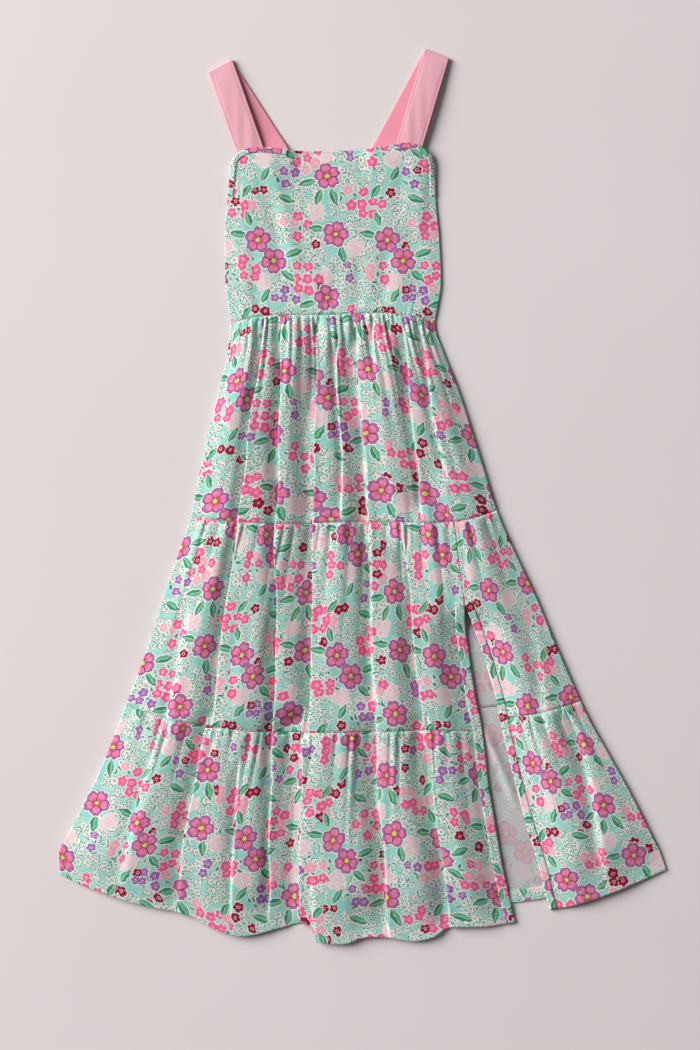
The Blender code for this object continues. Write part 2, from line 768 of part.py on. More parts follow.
def build_front(collection, print_cloth):
    bodice = bodice_front_grid(bodice_front_place())
    sheet_object("bodice_front", bodice, WALL, -1, print_cloth, collection)

    def slit_rows(place, edge):
        """The middle tier's rows, with one just where the slit opens."""
        top, bottom = place(edge, 0.0).y, place(edge, 1.0).y
        opening = (SLIT_TOP - top) / (bottom - top)
        after = tuple(opening + step for step in SLIT_ROWS_AFTER_OPENING)
        return SLIT_ROWS_ABOVE + after + SLIT_ROWS_BELOW

    main_place = panel_patch(
        upper_seam, lower_seam_main, outline_left, slit_left, 0.0, -SEAM_GAP
    )
    side_place = panel_patch(
        upper_seam, lower_seam_side, slit_right, outline_right, 0.0, -SEAM_GAP
    )
    panels = (
        (
            "tier_1_front",
            panel_patch(waist, upper_seam, outline_left, outline_right, 0.0, -SEAM_GAP),
            WAIST_GATHERS,
            TIER_ROWS,
        ),
        (
            "tier_2_front_main",
            main_place,
            UPPER_SEAM_GATHERS_MAIN,
            slit_rows(main_place, 1.0),
        ),
        (
            "tier_2_front_side",
            side_place,
            UPPER_SEAM_GATHERS_SIDE,
            slit_rows(side_place, 0.0),
        ),
        (
            "tier_3_front_main",
            panel_patch(lower_seam_main, hem_main, outline_left, slit_left, 0.0, 0.0),
            LOWER_SEAM_GATHERS_MAIN,
            HEM_ROWS,
        ),
        (
            "tier_3_front_side",
            panel_patch(lower_seam_side, hem_side, slit_right, outline_right, 0.0, 0.0),
            LOWER_SEAM_GATHERS_SIDE,
            HEM_ROWS,
        ),
    )
    for index, (name, place, gathers, rows) in enumerate(panels):
        columns = uneven_fractions(gathers, 1.3 * index)
        grid = front_panel_grid(place, columns, rows, gathers, 7 * index)
        sheet_object(name, grid, WALL, -1, print_cloth, collection)


def build_back(collection, print_cloth):
    neck = path_by_length(BACK_NECKLINE)
    back_waist = seam_curve(BACK_WAIST)
    back_upper = seam_curve(BACK_UPPER_SEAM)
    back_lower = seam_curve(BACK_LOWER_SEAM)
    back_hem = seam_curve(BACK_HEM)

    def left_side(down):
        return outline_left(down) + BACK_INSET

    def right_side(down):
        return outline_right(down) - BACK_INSET

    bottom = edge_along_seam(back_waist, left_side, right_side, -SEAM_GAP)
    left = edge_between(left_side, neck(0), bottom(0))
    right = edge_between(right_side, neck(1), bottom(1))
    columns = even_fractions(BODICE_BACK_COLUMNS)
    rows = even_fractions(BODICE_BACK_ROWS)
    grid = back_panel_grid(patch(neck, bottom, left, right), columns, rows, 0)
    sheet_object("bodice_back", grid, WALL, 1, print_cloth, collection)

    seams = (
        ("tier_1_back", back_waist, back_upper, -SEAM_GAP),
        ("tier_2_back", back_upper, back_lower, -SEAM_GAP),
        ("tier_3_back", back_lower, back_hem, 0.0),
    )
    for index, (name, top, low, shift) in enumerate(seams):
        gathers = BACK_GATHERS[index]
        place = panel_patch(top, low, left_side, right_side, 0.0, shift)
        columns = uneven_fractions(gathers, 0.9 + index)
        grid = back_panel_grid(place, columns, BACK_ROWS, gathers)
        sheet_object(name, grid, WALL, 1, print_cloth, collection)

    def turn_up_edge(t):
        across = mix(HEM_TURN_UP_START, HEM_TURN_UP_END, t)
        return Vector((across, back_hem(across) - STRIP_INSET))

    def up(_t):
        return Vector((0.0, -1.0))

    def back_inside(_across, _down):
        return WALL

    grid = strip_grid(
        turn_up_edge, up, HEM_TURN_UP_WIDTH, HEM_TURN_UP_STEPS, back_inside, LAYER_GAP
    )
    sheet_object("back_hem_turn_up", grid, TRIM_WALL, 1, print_cloth, collection)


def build_bands(collection, print_cloth):
    """The strips along the two slit edges and the bindings round the armhole corners."""
    lift = LAYER_GAP + TRIM_WALL

    def slit_edge(side, hem):
        def place(t):
            down = mix(SLIT_TOP + SLIT_BAND_TOP_INSET, hem - SLIT_BAND_HEM_INSET, t)
            return Vector((side(down), down))

        return place

    left_edge = slit_edge(slit_left, hem_main(SLIT_HEM_ACROSS_LEFT))
    right_edge = slit_edge(slit_right, hem_side(SLIT_HEM_ACROSS_RIGHT))
    left_corner = tuple(SeamRow(outline_left(d), d) for d in ARMHOLE_BINDING_DOWNS)
    right_corner = tuple(SeamRow(outline_right(d), d) for d in ARMHOLE_BINDING_DOWNS)
    left_armhole = path_by_length(left_corner + NECKLINE[:6])
    right_armhole = path_by_length(NECKLINE[9:] + right_corner[::-1])
    strips = (
        ("slit_band_left", left_edge, 1, SLIT_BAND_WIDTH_LEFT),
        ("slit_band_right", right_edge, -1, SLIT_BAND_WIDTH_RIGHT),
        ("armhole_binding_left", left_armhole, 1, ARMHOLE_BINDING_WIDTH),
        ("armhole_binding_right", right_armhole, 1, ARMHOLE_BINDING_WIDTH),
    )
    for name, path, side, width in strips:
        way = inward_of(path, side)
        grid = strip_grid(path, way, width, STRIP_STEPS, front_level, lift)
        if side < 0:
            grid = [list(reversed(line)) for line in grid]
        sheet_object(name, grid, TRIM_WALL, -1, print_cloth, collection)


def build_straps(collection, strap_cloth):
    for row in STRAPS:
        sheet_object(
            "strap_" + row.side, strap_grid(row), WALL, 0, strap_cloth, collection
        )


def main():
    for thing in list(bpy.data.objects):
        bpy.data.objects.remove(thing, do_unlink=True)
    collection = bpy.data.collections.new("tiered_dress")
    bpy.context.scene.collection.children.link(collection)
    print_cloth = plain_material("printed_cotton", (0.50, 0.75, 0.68), 0.85)
    strap_cloth = plain_material("pink_cotton", (0.90, 0.42, 0.50), 0.85)
    build_back(collection, print_cloth)
    build_front(collection, print_cloth)
    build_bands(collection, print_cloth)
    build_straps(collection, strap_cloth)


main()
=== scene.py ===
"""The laid tiered dress as the photograph shows it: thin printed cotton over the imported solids.

Sizes are millimetres on the laid garment, as in the part: "across" counts from the middle of the
neckline towards the viewer's right, "down" from the neckline towards the hem, "level" up from the
ground. to_row() turns them into the row frame's metres.
"""
import math
from collections import namedtuple

import bpy
import numpy as np
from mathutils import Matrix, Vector


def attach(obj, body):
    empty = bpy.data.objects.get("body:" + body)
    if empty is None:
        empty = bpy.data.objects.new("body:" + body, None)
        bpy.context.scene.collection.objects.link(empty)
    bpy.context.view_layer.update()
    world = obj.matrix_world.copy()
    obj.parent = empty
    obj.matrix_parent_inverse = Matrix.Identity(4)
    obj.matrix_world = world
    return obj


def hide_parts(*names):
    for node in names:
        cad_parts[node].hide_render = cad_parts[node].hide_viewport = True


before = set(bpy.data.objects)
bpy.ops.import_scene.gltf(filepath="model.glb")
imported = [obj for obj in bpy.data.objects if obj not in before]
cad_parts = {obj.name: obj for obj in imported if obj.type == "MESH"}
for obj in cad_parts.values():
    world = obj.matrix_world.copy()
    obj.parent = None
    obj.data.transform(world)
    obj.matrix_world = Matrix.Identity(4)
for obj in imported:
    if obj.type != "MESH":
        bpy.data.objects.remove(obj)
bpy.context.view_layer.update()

MM = 0.001
# The row frame's origin on the laid garment
MIDDLE_ACROSS = 32.12
MIDDLE_DOWN = 368.48
CLOTH_WALL = 0.7
STRAP_WALL = 1.1
TRIM_WALL = 0.5
FRONT_STEP = 1.15
ROW_STEP = 2.6
# Columns of a front panel crowd towards its lips: how much, how far beside and past them
LIP_CROWD = 2.6
LIP_CROWD_REACH = 2.6
LIP_CROWD_FADE = 60.0
BACK_STEP = 3.0

# The laid cloth's levels and reaches. They are the scene's own where its thinner cloth and deeper
# folds ask for other values than the part's.
EDGE_LEVEL = 2.8
SKIRT_EDGE_LEVEL = 4.4
SLIT_EDGE_LEVEL = 4.4
TROUGH_LEVEL = 2.6
SEAM_TROUGH_LIFT = 2.6
BODICE_EDGE_ROLL = 27.0
HEM_EDGE_ROLL = 75.0
SLIT_ROLL = 42.0
GATHER_CLEAR = 14.0
SLIT_OPENING_LENGTH = 40.0
SLIT_TOP = 478.0
HEM_REST_LEVEL = 1.2
HEM_DROP_SHARE = 0.58
HEM_DROP_REACH = 60.0
GATHER_HEIGHT = 3.3
GATHER_SWELL = 4.0
GATHER_LENGTH = 66.0
# Where the gathers start below the seam, how much larger the waist's are, and the small
# ripples right at the seam: their height at the waist and at the other seams, and their reach
GATHER_START = 1.6
WAIST_GATHERS = 1.25
WAIST_RIPPLES = 2.4
SEAM_RIPPLES = 1.8
RIPPLE_SWELL = 1.6
RIPPLE_LENGTH = 9.0
# How deep the cloth is drawn in at a seam, above it and below it
SEAM_DIP = 1.0
TOP_SEAM_DIP = 2.1
# Topstitching: how far from the hem's and the neckline's edge
HEM_STITCHES = 12.0
NECK_STITCHES = 2.6
# The front's lowest level where the back lies under it, and past the back's hem
LOWEST_OVER_BACK = 2.8
LOWEST_PAST_BACK = 0.95
BACK_TOP_LEVEL = 1.0
STRAP_LIFT = 2.3
STRAP_EDGE_LIFT = 3.8
STRAP_UNDERLAP = 11.0
STRAP_FADE = 38.0
# Where the straps' middles go under the bodice, across
STRAP_MIDDLES = (-76.0, 71.0)
STRAP_SPREAD = 28.0
STRAP_FOLD_RADIUS = 1.6
FOLD_FADE = 34.0
FOLD_WANDER = 1.7
# The wall under a lip: how sharply it ends at the top, how wide it is for the fold's right
# width, and how far the lip's lean runs out into the cloth beside it
LIP_POWER = 3.0
LIP_WALL = 1.5
LIP_SETTLE = 7.0

# The outline, the slit, the seams and the hems, as in the part
# down, left, right
OUTLINE = (
    (14, -107.6, 107.6), (54, -112.2, 109.4), (90, -114.6, 112.8), (140, -113.9, 115.0),
    (166, -110.6, 111.4), (184, -108.8, 108.4), (214, -111.4, 117.6), (250, -119.6, 131.6),
    (321, -137.0, 154.8), (388, -150.6, 176.2), (428, -163.7, 193.6), (471, -178.7, 214.0),
    (535, -199.0, 241.0), (600, -223.6, 270.0), (642, -239.7, 293.0), (685, -259.4, 317.0),
    (728, -281.2, 338.6), (750, -291.6, 349.6), (775, -290.6, 357.6),
)
SLIT = (
    (380, 127.3, 127.7), (440, 134.4, 134.8), (478, 139.4, 139.9), (500, 139.8, 148.0),
    (540, 144.8, 162.0), (585, 151.8, 175.0), (620, 158.9, 182.2), (675, 165.0, 195.5),
    (720, 172.6, 207.6), (765, 180.4, 221.0), (795, 187.3, 228.5), (825, 194.2, 236.5),
)
# across, down
NECKLINE = (
    (-107.6, 14.0), (-104.6, 7.4), (-97.4, 1.2), (-86.0, -2.4), (-74.0, -3.0), (-48.2, 0.0),
    (-1.1, 0.4), (26.8, -0.3), (46.0, -2.7), (66.3, -5.9), (79.0, -7.4), (92.4, -4.6),
    (103.0, 2.8), (107.6, 14.0),
)
WAIST = (
    (-110.0, 183.2), (-98.4, 180.4), (-84.0, 177.0), (-58.0, 174.5), (0.0, 174.2),
    (53.5, 172.0), (77.0, 175.0), (94.0, 178.0), (109.0, 183.0),
)
UPPER_SEAM = (
    (-152.0, 389.8), (-124.0, 392.8), (-90.0, 396.0), (-36.0, 397.2), (20.0, 395.0),
    (70.0, 395.2), (110.0, 396.2), (130.0, 394.8), (148.0, 391.6), (174.0, 383.0),
)
LOWER_SEAM_MAIN = (
    (-221.0, 591.2), (-192.6, 600.0), (-164.8, 607.4), (-132.7, 612.0), (-81.3, 618.6),
    (-24.6, 619.6), (45.0, 618.6), (109.0, 617.4), (162.0, 619.0),
)
LOWER_SEAM_SIDE = ((178.0, 606.4), (195.0, 603.4), (226.0, 597.6), (266.0, 586.0))
HEM_MAIN = (
    (-292.0, 772.4), (-272.0, 782.0), (-247.0, 791.8), (-194.0, 807.0), (-151.0, 816.0),
    (-130.0, 828.6), (-97.0, 838.0), (-54.6, 829.0), (-30.0, 824.2), (-23.0, 826.0),
    (-17.0, 844.6), (9.6, 846.6), (34.0, 839.6), (52.4, 838.8), (88.0, 843.4),
    (106.0, 839.6), (126.0, 828.6), (162.0, 827.6), (196.0, 823.6),
)
HEM_SIDE = ((231.0, 811.0), (256.0, 805.6), (298.0, 791.6), (341.0, 774.0), (358.0, 767.4))
BACK_NECKLINE = (
    (-106.4, 19.0), (-102.0, 10.0), (-93.0, 5.0), (0.0, 4.0), (93.0, 5.0), (102.0, 10.0),
    (106.4, 19.0),
)
BACK_WAIST = ((-109.0, 182.0), (0.0, 177.0), (108.0, 182.0))
BACK_UPPER_SEAM = ((-152.0, 384.0), (0.0, 390.0), (174.0, 380.0))
BACK_LOWER_SEAM = ((-221.0, 584.0), (0.0, 604.0), (170.0, 593.8), (266.0, 580.0))
BACK_HEM = (
    (-288.0, 756.0), (-200.0, 788.0), (-100.0, 811.0), (0.0, 820.0), (100.0, 817.0),
    (202.0, 801.0), (226.0, 797.6), (300.0, 775.0), (352.0, 753.0),
)
# down, level: the front's outer face before its folds, higher than the part's to give them room
FRONT_LEVEL = (
    (-10, 5.4), (150, 5.4), (184, 8.0), (240, 13.6), (396, 14.0), (470, 15.6), (620, 15.8),
    (740, 16.8), (850, 15.4),
)

# The front's long folds, more and deeper than the part's
# top_a, top_d, end_a, end_d: the trough's top and end, across and down
# left, right: the widths of the slow slope down to the trough and of the steep one out of it
# depth: how far the trough lies under the front's level
# hidden: how much cloth, in millimetres, the fold takes out of sight
# power: from 1, a slope that steepens all the way to a sharp trough, to 3, a flat trough
# over: how far the lip to the right leans over the trough
Fold = namedtuple("Fold", "top_a top_d end_a end_d left right depth hidden power over")
FOLDS = (
    Fold(-15.5, 176, -23.5, 640, 17.0, 1.9, 15.5, 16.0, 1.5, 4.4),
    Fold(-31.0, 590, -33.5, 880, 31.0, 2.0, 17.5, 26.0, 1.7, 5.0),
    Fold(-72.0, 178, -105.0, 412, 10.0, 2.2, 11.0, 10.0, 1.4, 2.6),
    Fold(-103.0, 396, -133.0, 632, 10.0, 2.4, 10.5, 9.0, 1.4, 2.4),
    Fold(-55.0, 176, -63.0, 640, 10.0, 2.0, 12.5, 9.0, 1.4, 3.6),
    Fold(-66.0, 600, -70.0, 830, 8.0, 2.6, 6.0, 7.0, 1.6, 1.8),
    Fold(24.0, 186, 45.0, 600, 14.0, 4.0, 12.5, 8.0, 1.4, 3.2),
    Fold(4.0, 190, 8.0, 400, 7.0, 2.4, 6.0, 4.0, 1.6, 1.6),
    Fold(42.0, 172, 44.0, 246, 5.5, 2.2, 5.6, 6.0, 2.0, 1.4),
    Fold(73.0, 184, 95.0, 400, 10.0, 2.8, 11.0, 9.0, 1.5, 2.4),
    Fold(90.0, 176, 119.0, 360, 9.0, 2.8, 8.0, 8.0, 1.6, 2.0),
    Fold(74.0, 410, 99.0, 640, 14.0, 2.2, 14.0, 14.0, 1.4, 2.8),
    Fold(100.0, 596, 128.0, 850, 20.0, 2.0, 17.0, 18.0, 1.6, 4.6),
    Fold(44.0, 596, 58.0, 850, 17.0, 2.8, 14.0, 9.0, 1.4, 2.8),
    Fold(-134.0, 596, -172.0, 830, 17.0, 2.6, 13.0, 10.0, 1.5, 3.6),
    Fold(-100.0, 640, -112.0, 830, 11.0, 2.8, 5.0, 4.0, 1.6, 1.6),
    Fold(-196.0, 620, -236.0, 800, 13.0, 9.0, 4.5, 4.0, 1.6, 0.6),
    Fold(252.0, 590, 288.0, 790, 13.0, 7.5, 6.0, 4.0, 1.5, 0.8),
    Fold(206.0, 480, 226.0, 640, 13.0, 7.5, 4.8, 3.0, 1.5, 0.7),
    Fold(-158.0, 470, -186.0, 640, 12.0, 7.5, 5.0, 3.0, 1.5, 0.7),
)
# The bodice's soft creases: top across and down, end across and down, width, height
BODICE_CREASES = (
    (-68.0, 8.0, -37.0, 132.0, 9.0, 1.7), (-65.0, 50.0, -55.0, 132.0, 8.0, -1.5),
    (-87.0, 104.0, -80.0, 166.0, 7.0, -1.2), (28.0, 112.0, 26.0, 166.0, 7.0, -1.1),
    (58.0, 100.0, 52.0, 166.0, 8.0, -1.4), (86.0, 84.0, 92.0, 168.0, 15.0, -1.9),
    (76.0, 10.0, 70.0, 70.0, 8.0, -1.2), (4.0, 126.0, 0.0, 168.0, 6.0, -0.9),
    (-22.0, 120.0, -16.0, 168.0, 6.0, 0.9), (98.0, 30.0, 92.0, 90.0, 7.0, 1.0),
)
# Over what length the cloth that a fold hides comes out again past the fold's end, how far
# inside a panel an end counts as one, and the least share of a panel that a fold has to cross
HIDDEN_FADE = 80.0
HIDDEN_MARGIN = 40.0
HIDDEN_LEAST = 0.3
# The inner face's part of the bake map, for a face that is seen as much as the outer one
HALF_THE_MAP = 0.47


def smooth_step(x):
    x = np.clip(x, 0.0, 1.0)
    return x * x * (3.0 - 2.0 * x)


def mix(a, b, t):
    return a + (b - a) * t


def hump(x, width):
    """1 where x is 0, fading to nothing on both sides."""
    return np.exp(-((x / width) ** 2))


def unit(way):
    return way / np.linalg.norm(way)


def smooth_curve(rows, column=1):
    """A function through the rows, without overshoot, straight past both ends."""
    xs = np.array([row[0] for row in rows], float)
    ys = np.array([row[column] for row in rows], float)
    slopes = np.diff(ys) / np.diff(xs)
    product = slopes[:-1] * slopes[1:]
    total = slopes[:-1] + slopes[1:]
    safe = np.where(product > 0, total, 1.0)
    inner = np.where(product > 0, 2 * product / safe, 0.0)
    tangents = np.concatenate([slopes[:1], inner, slopes[-1:]])

    def value(x):
        x = np.asarray(x, float)
        i = np.clip(np.searchsorted(xs, x, side="right") - 1, 0, len(xs) - 2)
        span = xs[i + 1] - xs[i]
        t = np.clip((x - xs[i]) / span, 0.0, 1.0)
        inside = (1 + 2 * t) * (1 - t) ** 2 * ys[i] + t * (1 - t) ** 2 * span * tangents[i]
        inside += t * t * (3 - 2 * t) * ys[i + 1] + t * t * (t - 1) * span * tangents[i + 1]
        beyond = np.minimum(x - xs[0], 0.0) * tangents[0]
        beyond += np.maximum(x - xs[-1], 0.0) * tangents[-1]
        return inside + beyond

    return value


STEPS_TO_A_ROW = 16


def path_by_length(rows):
    """A function from 0..1 to (across, down), by length along a smooth path through the rows."""
    points = np.array(rows, float)
    dense = []
    for i in range(len(points) - 1):
        before = points[max(i - 1, 0)]
        after = points[min(i + 2, len(points) - 1)]
        start, end = points[i], points[i + 1]
        square = 2 * before - 5 * start + 4 * end - after
        cube = 3 * start - before - 3 * end + after
        for t in np.arange(STEPS_TO_A_ROW) / STEPS_TO_A_ROW:
            dense.append(0.5 * (2 * start + (end - before) * t + square * t * t + cube * t ** 3))
    dense = np.array(dense + [points[-1]])
    steps = np.hypot(*np.diff(dense, axis=0).T)
    lengths = np.concatenate([[0.0], np.cumsum(steps)])

    def place(u):
        at = np.asarray(u, float) * lengths[-1]
        across = np.interp(at, lengths, dense[:, 0])
        down = np.interp(at, lengths, dense[:, 1])
        return np.stack([across, down], -1)

    place.length = lengths[-1]
    return place


outline_left = smooth_curve(OUTLINE)
outline_right = smooth_curve(OUTLINE, 2)
slit_left = smooth_curve(SLIT)
slit_right = smooth_curve(SLIT, 2)
level_by_down = smooth_curve(FRONT_LEVEL)
waist = smooth_curve(WAIST)
upper_seam = smooth_curve(UPPER_SEAM)
lower_seam_main = smooth_curve(LOWER_SEAM_MAIN)
lower_seam_side = smooth_curve(LOWER_SEAM_SIDE)
hem_main = smooth_curve(HEM_MAIN)
hem_side = smooth_curve(HEM_SIDE)
back_hem = smooth_curve(BACK_HEM)
neckline = path_by_length(NECKLINE)


def on_main(across, down):
    return across <= slit_left(down) + 0.4


def from_slit(across, down):
    main = on_main(across, down)
    return np.where(main, slit_left(down) - across, across - slit_right(down))


def fold_fade(row, down):
    fade = smooth_step((down - row.top_d) / FOLD_FADE)
    return fade * smooth_step((row.end_d - down) / FOLD_FADE)


def fold_middle(row, down):
    straight = mix(row.top_a, row.end_a, (down - row.top_d) / (row.end_d - row.top_d))
    return straight + FOLD_WANDER * uneven(down / 31.0, int(row.end_d + abs(row.top_a)))


def fold_depth(row, across, down):
    beside = across - fold_middle(row, down)
    spread = 1.0 + 0.22 * uneven(down / 43.0, int(row.top_d + abs(row.end_a)))
    width = np.where(beside < 0, row.left * spread, row.right)
    power = np.where(beside < 0, row.power, LIP_POWER)
    depth = row.depth * (1.0 - 0.12 * (1.0 + uneven(down / 57.0, int(row.end_d))))
    return depth * np.exp(-(np.abs(beside / width) ** power)) * fold_fade(row, down)


def lip_lean(across, down):
    """How far to the left the cloth beside a trough leans, over it."""
    lean = np.zeros_like(across)
    for row in FOLDS:
        past = across - fold_middle(row, down)
        wall = LIP_WALL * row.right
        settle = np.exp(-np.maximum(past - wall, 0.0) / LIP_SETTLE)
        lean = lean + row.over * smooth_step(past / wall) * settle * fold_fade(row, down)
    return lean


def crowded(u, across, down):
    """For each row of a panel's grid, fractions u that lie closer together at the folds' lips."""
    weight = np.ones_like(across)
    for row in FOLDS:
        past = across - fold_middle(row, down) - LIP_WALL * row.right
        near = hump(past, LIP_CROWD_REACH)
        near = near * smooth_step((down - row.top_d) / LIP_CROWD_FADE + 0.7)
        weight = weight + LIP_CROWD * near * smooth_step((row.end_d - down) / LIP_CROWD_FADE + 0.7)
    steps = 0.5 * (weight[:, 1:] + weight[:, :-1])
    total = np.concatenate([np.zeros((len(across), 1)), np.cumsum(steps, axis=1)], 1)
    total = total / total[:, -1:]
    return np.stack([np.interp(u, along, u) for along in total])


def hidden_share(row, down, panel_top, panel_end):
    """How much of a fold's hidden cloth a panel has at each row; none if it barely reaches in."""
    reach = min(row.end_d, panel_end) - max(row.top_d, panel_top)
    if reach < HIDDEN_LEAST * (panel_end - panel_top):
        return 0.0
    share = 1.0
    if row.top_d > panel_top + HIDDEN_MARGIN:
        share = share * smooth_step((down - row.top_d) / HIDDEN_FADE)
    if row.end_d < panel_end - HIDDEN_MARGIN:
        share = share * smooth_step((row.end_d - down) / HIDDEN_FADE)
    return share


def strap_share(across, down):
    """1 where a strap's end under the bodice lifts it, fading to 0 beside and below."""
    fade = 1.0 - smooth_step((down - STRAP_UNDERLAP) / STRAP_FADE)
    left, right = (np.abs(across - middle) for middle in STRAP_MIDDLES)
    beyond = np.minimum(left, right) - STRAP_SPREAD
    return (1.0 - smooth_step(beyond / (0.5 * STRAP_SPREAD))) * fade


def uneven(values, seed):
    """A smooth uneven run of numbers about 0, for wrinkles: sums of waves of unlike lengths."""
    pick = np.random.default_rng(seed)
    total = np.zeros_like(values)
    for share in (1.0, 0.8, 0.6, 0.45):
        pace = pick.uniform(0.6, 1.9)
        total += share * np.sin(pace * values + pick.uniform(0, 2 * math.pi))
    return total / 1.6


def flutes(across, down):
    """Soft shallow creases that run down the skirt and change slowly along the way."""
    reach = (down - 180.0) / 600.0
    fan = (across - 8.0) / (110.0 + 215.0 * np.maximum(reach, 0.0))
    wide = uneven(fan * 24.0 + 1.6 * np.sin(down / 83.0), 3)
    fine = uneven(fan * 58.0 + 1.3 * np.sin(down / 41.0 + 2.0), 5)
    patches = 0.6 + 0.4 * uneven(down / 30.0 + fan * 6.0, 7)
    skirt = smooth_step((down - waist(across)) / 20.0)
    return skirt * (0.7 * wide + 0.28 * fine * patches)


def bodice_wrinkles(across, down):
    bodice = smooth_step((waist(across) - down) / 12.0)
    lean = uneven((across + 0.5 * down) / 19.0, 11) * uneven(down / 37.0, 12)
    sides = smooth_step((np.abs(across) - 60.0) / 40.0)
    level = (0.5 + 0.4 * sides) * lean
    for top_a, top_d, end_a, end_d, width, height in BODICE_CREASES:
        along = (down - top_d) / (end_d - top_d)
        beside = across - mix(top_a, end_a, along)
        ends = smooth_step(along / 0.3 + 0.5) * smooth_step((1.0 - along) / 0.3 + 0.5)
        level = level + height * hump(beside, width) * ends
    return bodice * level


def front_level(across, down):
    """The level of the front layer's outer face, without its gathers."""
    from_side = np.minimum(across - outline_left(down), outline_right(down) - across)
    strap = strap_share(across, down)
    level = level_by_down(down) + STRAP_LIFT * strap
    level = level + flutes(across, down) + bodice_wrinkles(across, down)
    for row in FOLDS:
        level = level - fold_depth(row, across, down)
    lower_seam = np.where(on_main(across, down), lower_seam_main(across), lower_seam_side(across))
    from_seam = np.minimum(np.abs(down - upper_seam(across)), np.abs(down - lower_seam))
    low = TROUGH_LEVEL + STRAP_LIFT * strap + SEAM_TROUGH_LIFT * hump(from_seam, 9.0)
    level = np.where(level < low + 1.0, low + np.exp(np.minimum(level - low - 1.0, 0.0)), level)
    opened = smooth_step((down - SLIT_TOP) / SLIT_OPENING_LENGTH)
    share = 1.0 - opened * (1.0 - smooth_step(from_slit(across, down) / SLIT_ROLL))
    level = mix(SLIT_EDGE_LEVEL, level, share)
    roll = mix(BODICE_EDGE_ROLL, HEM_EDGE_ROLL, smooth_step((down - 150.0) / 500.0))
    rise = np.sin(0.5 * math.pi * np.clip(from_side / roll, 0.0, 1.0)) ** 1.2
    edge = mix(EDGE_LEVEL, SKIRT_EDGE_LEVEL, smooth_step((down - 188.0) / 90.0))
    level = mix(edge + STRAP_EDGE_LIFT * strap, level, rise)
    hem = np.where(on_main(across, down), hem_main(across), hem_side(across))
    near_hem = 1.0 - smooth_step((hem - down) / HEM_DROP_REACH)
    return level - HEM_DROP_SHARE * near_hem * (level - HEM_REST_LEVEL)


def gather_room(across, down):
    """From 0 to 1: the gathers stay off the strips along the slit."""
    opened = smooth_step((down - SLIT_TOP) / GATHER_CLEAR + 1.0)
    beside = smooth_step((from_slit(across, down) - 9.0) / GATHER_CLEAR)
    return 1.0 - opened * (1.0 - beside)


def gather_turns(u, gathers, phase):
    """Which gather each fraction u is on, as a running number; whole numbers are ridges."""
    s = np.linspace(0.0, 1.0, 4001)
    shift = 0.23 * np.sin(1.95 * gathers * s + phase)
    shift += 0.14 * np.sin(0.82 * gathers * s + 2 * phase)
    inside = smooth_step(8.0 * np.minimum(s, 1 - s))
    return np.interp(u, s + shift * inside / gathers, s * gathers)


MOST_GATHERS = 80


def gather_strengths(turns, shift):
    """The height and length of each gather, as a share, uneven from one to the next."""
    numbers = np.arange(MOST_GATHERS)
    index = numbers + shift
    rows = 0.68 + 0.22 * np.sin(2.4 * index + 0.7) + 0.16 * np.sin(5.1 * index)
    return np.interp(turns, numbers, rows)


def meeting_place(side, seam):
    across = side(seam(0.0))
    for _ in range(12):
        across = side(seam(across))
    return across


def edge_along_seam(seam, side_a, side_b, shift):
    def moved(across):
        return seam(across) + shift

    start, end = meeting_place(side_a, moved), meeting_place(side_b, moved)

    def place(u):
        across = mix(start, end, np.asarray(u, float))
        return np.stack([across, moved(across)], -1)

    return place


def edge_between(side, start, end):
    def place(v):
        down = mix(start[..., 1], end[..., 1], np.asarray(v, float))
        return np.stack([side(down), down], -1)

    return place


def patch(top, bottom, left, right):
    """Places (rows, columns, 2) inside four edges, for fractions u across and v down."""

    def place(u, v):
        u, v = u[None, :, None], v[:, None, None]
        rows = mix(top(u[0, :, 0])[None], bottom(u[0, :, 0])[None], v)
        sides = mix(left(v[:, 0, 0])[:, None], right(v[:, 0, 0])[:, None], u)
        corners = mix(mix(top(0.0), top(1.0), u), mix(bottom(0.0), bottom(1.0), u), v)
        return rows + sides - corners

    return place


def panel_patch(top, bottom_seam, side_a, side_b, shift):
    """A panel below the edge top, down to a seam or hem and a shift past it."""
    bottom = edge_along_seam(bottom_seam, side_a, side_b, shift)
    left = edge_between(side_a, top(0.0), bottom(0.0))
    right = edge_between(side_b, top(1.0), bottom(1.0))
    return patch(top, bottom, left, right)


def to_row(across, down, level):
    points = np.stack(np.broadcast_arrays(across - MIDDLE_ACROSS, MIDDLE_DOWN - down, level), -1)
    return points * MM


def grid_normals(points):
    """Unit normals of a grid of points, towards the side that rows down and columns right show."""
    along_rows = np.gradient(points, axis=0)
    along_columns = np.gradient(points, axis=1)
    normals = np.cross(along_rows, along_columns)
    return normals / np.maximum(np.linalg.norm(normals, axis=2, keepdims=True), 1e-12)


def grid_quads(rows, columns, first, flip):
    index = np.arange(rows * columns).reshape(rows, columns) + first
    a, b = index[:-1, :-1].ravel(), index[1:, :-1].ravel()
    c, d = index[1:, 1:].ravel(), index[:-1, 1:].ravel()
    return np.stack([a, d, c, b] if flip else [a, b, c, d], 1)


def new_object(name, data):
    thing = bpy.data.objects.new(name, data)
    bpy.context.scene.collection.objects.link(thing)
    return thing


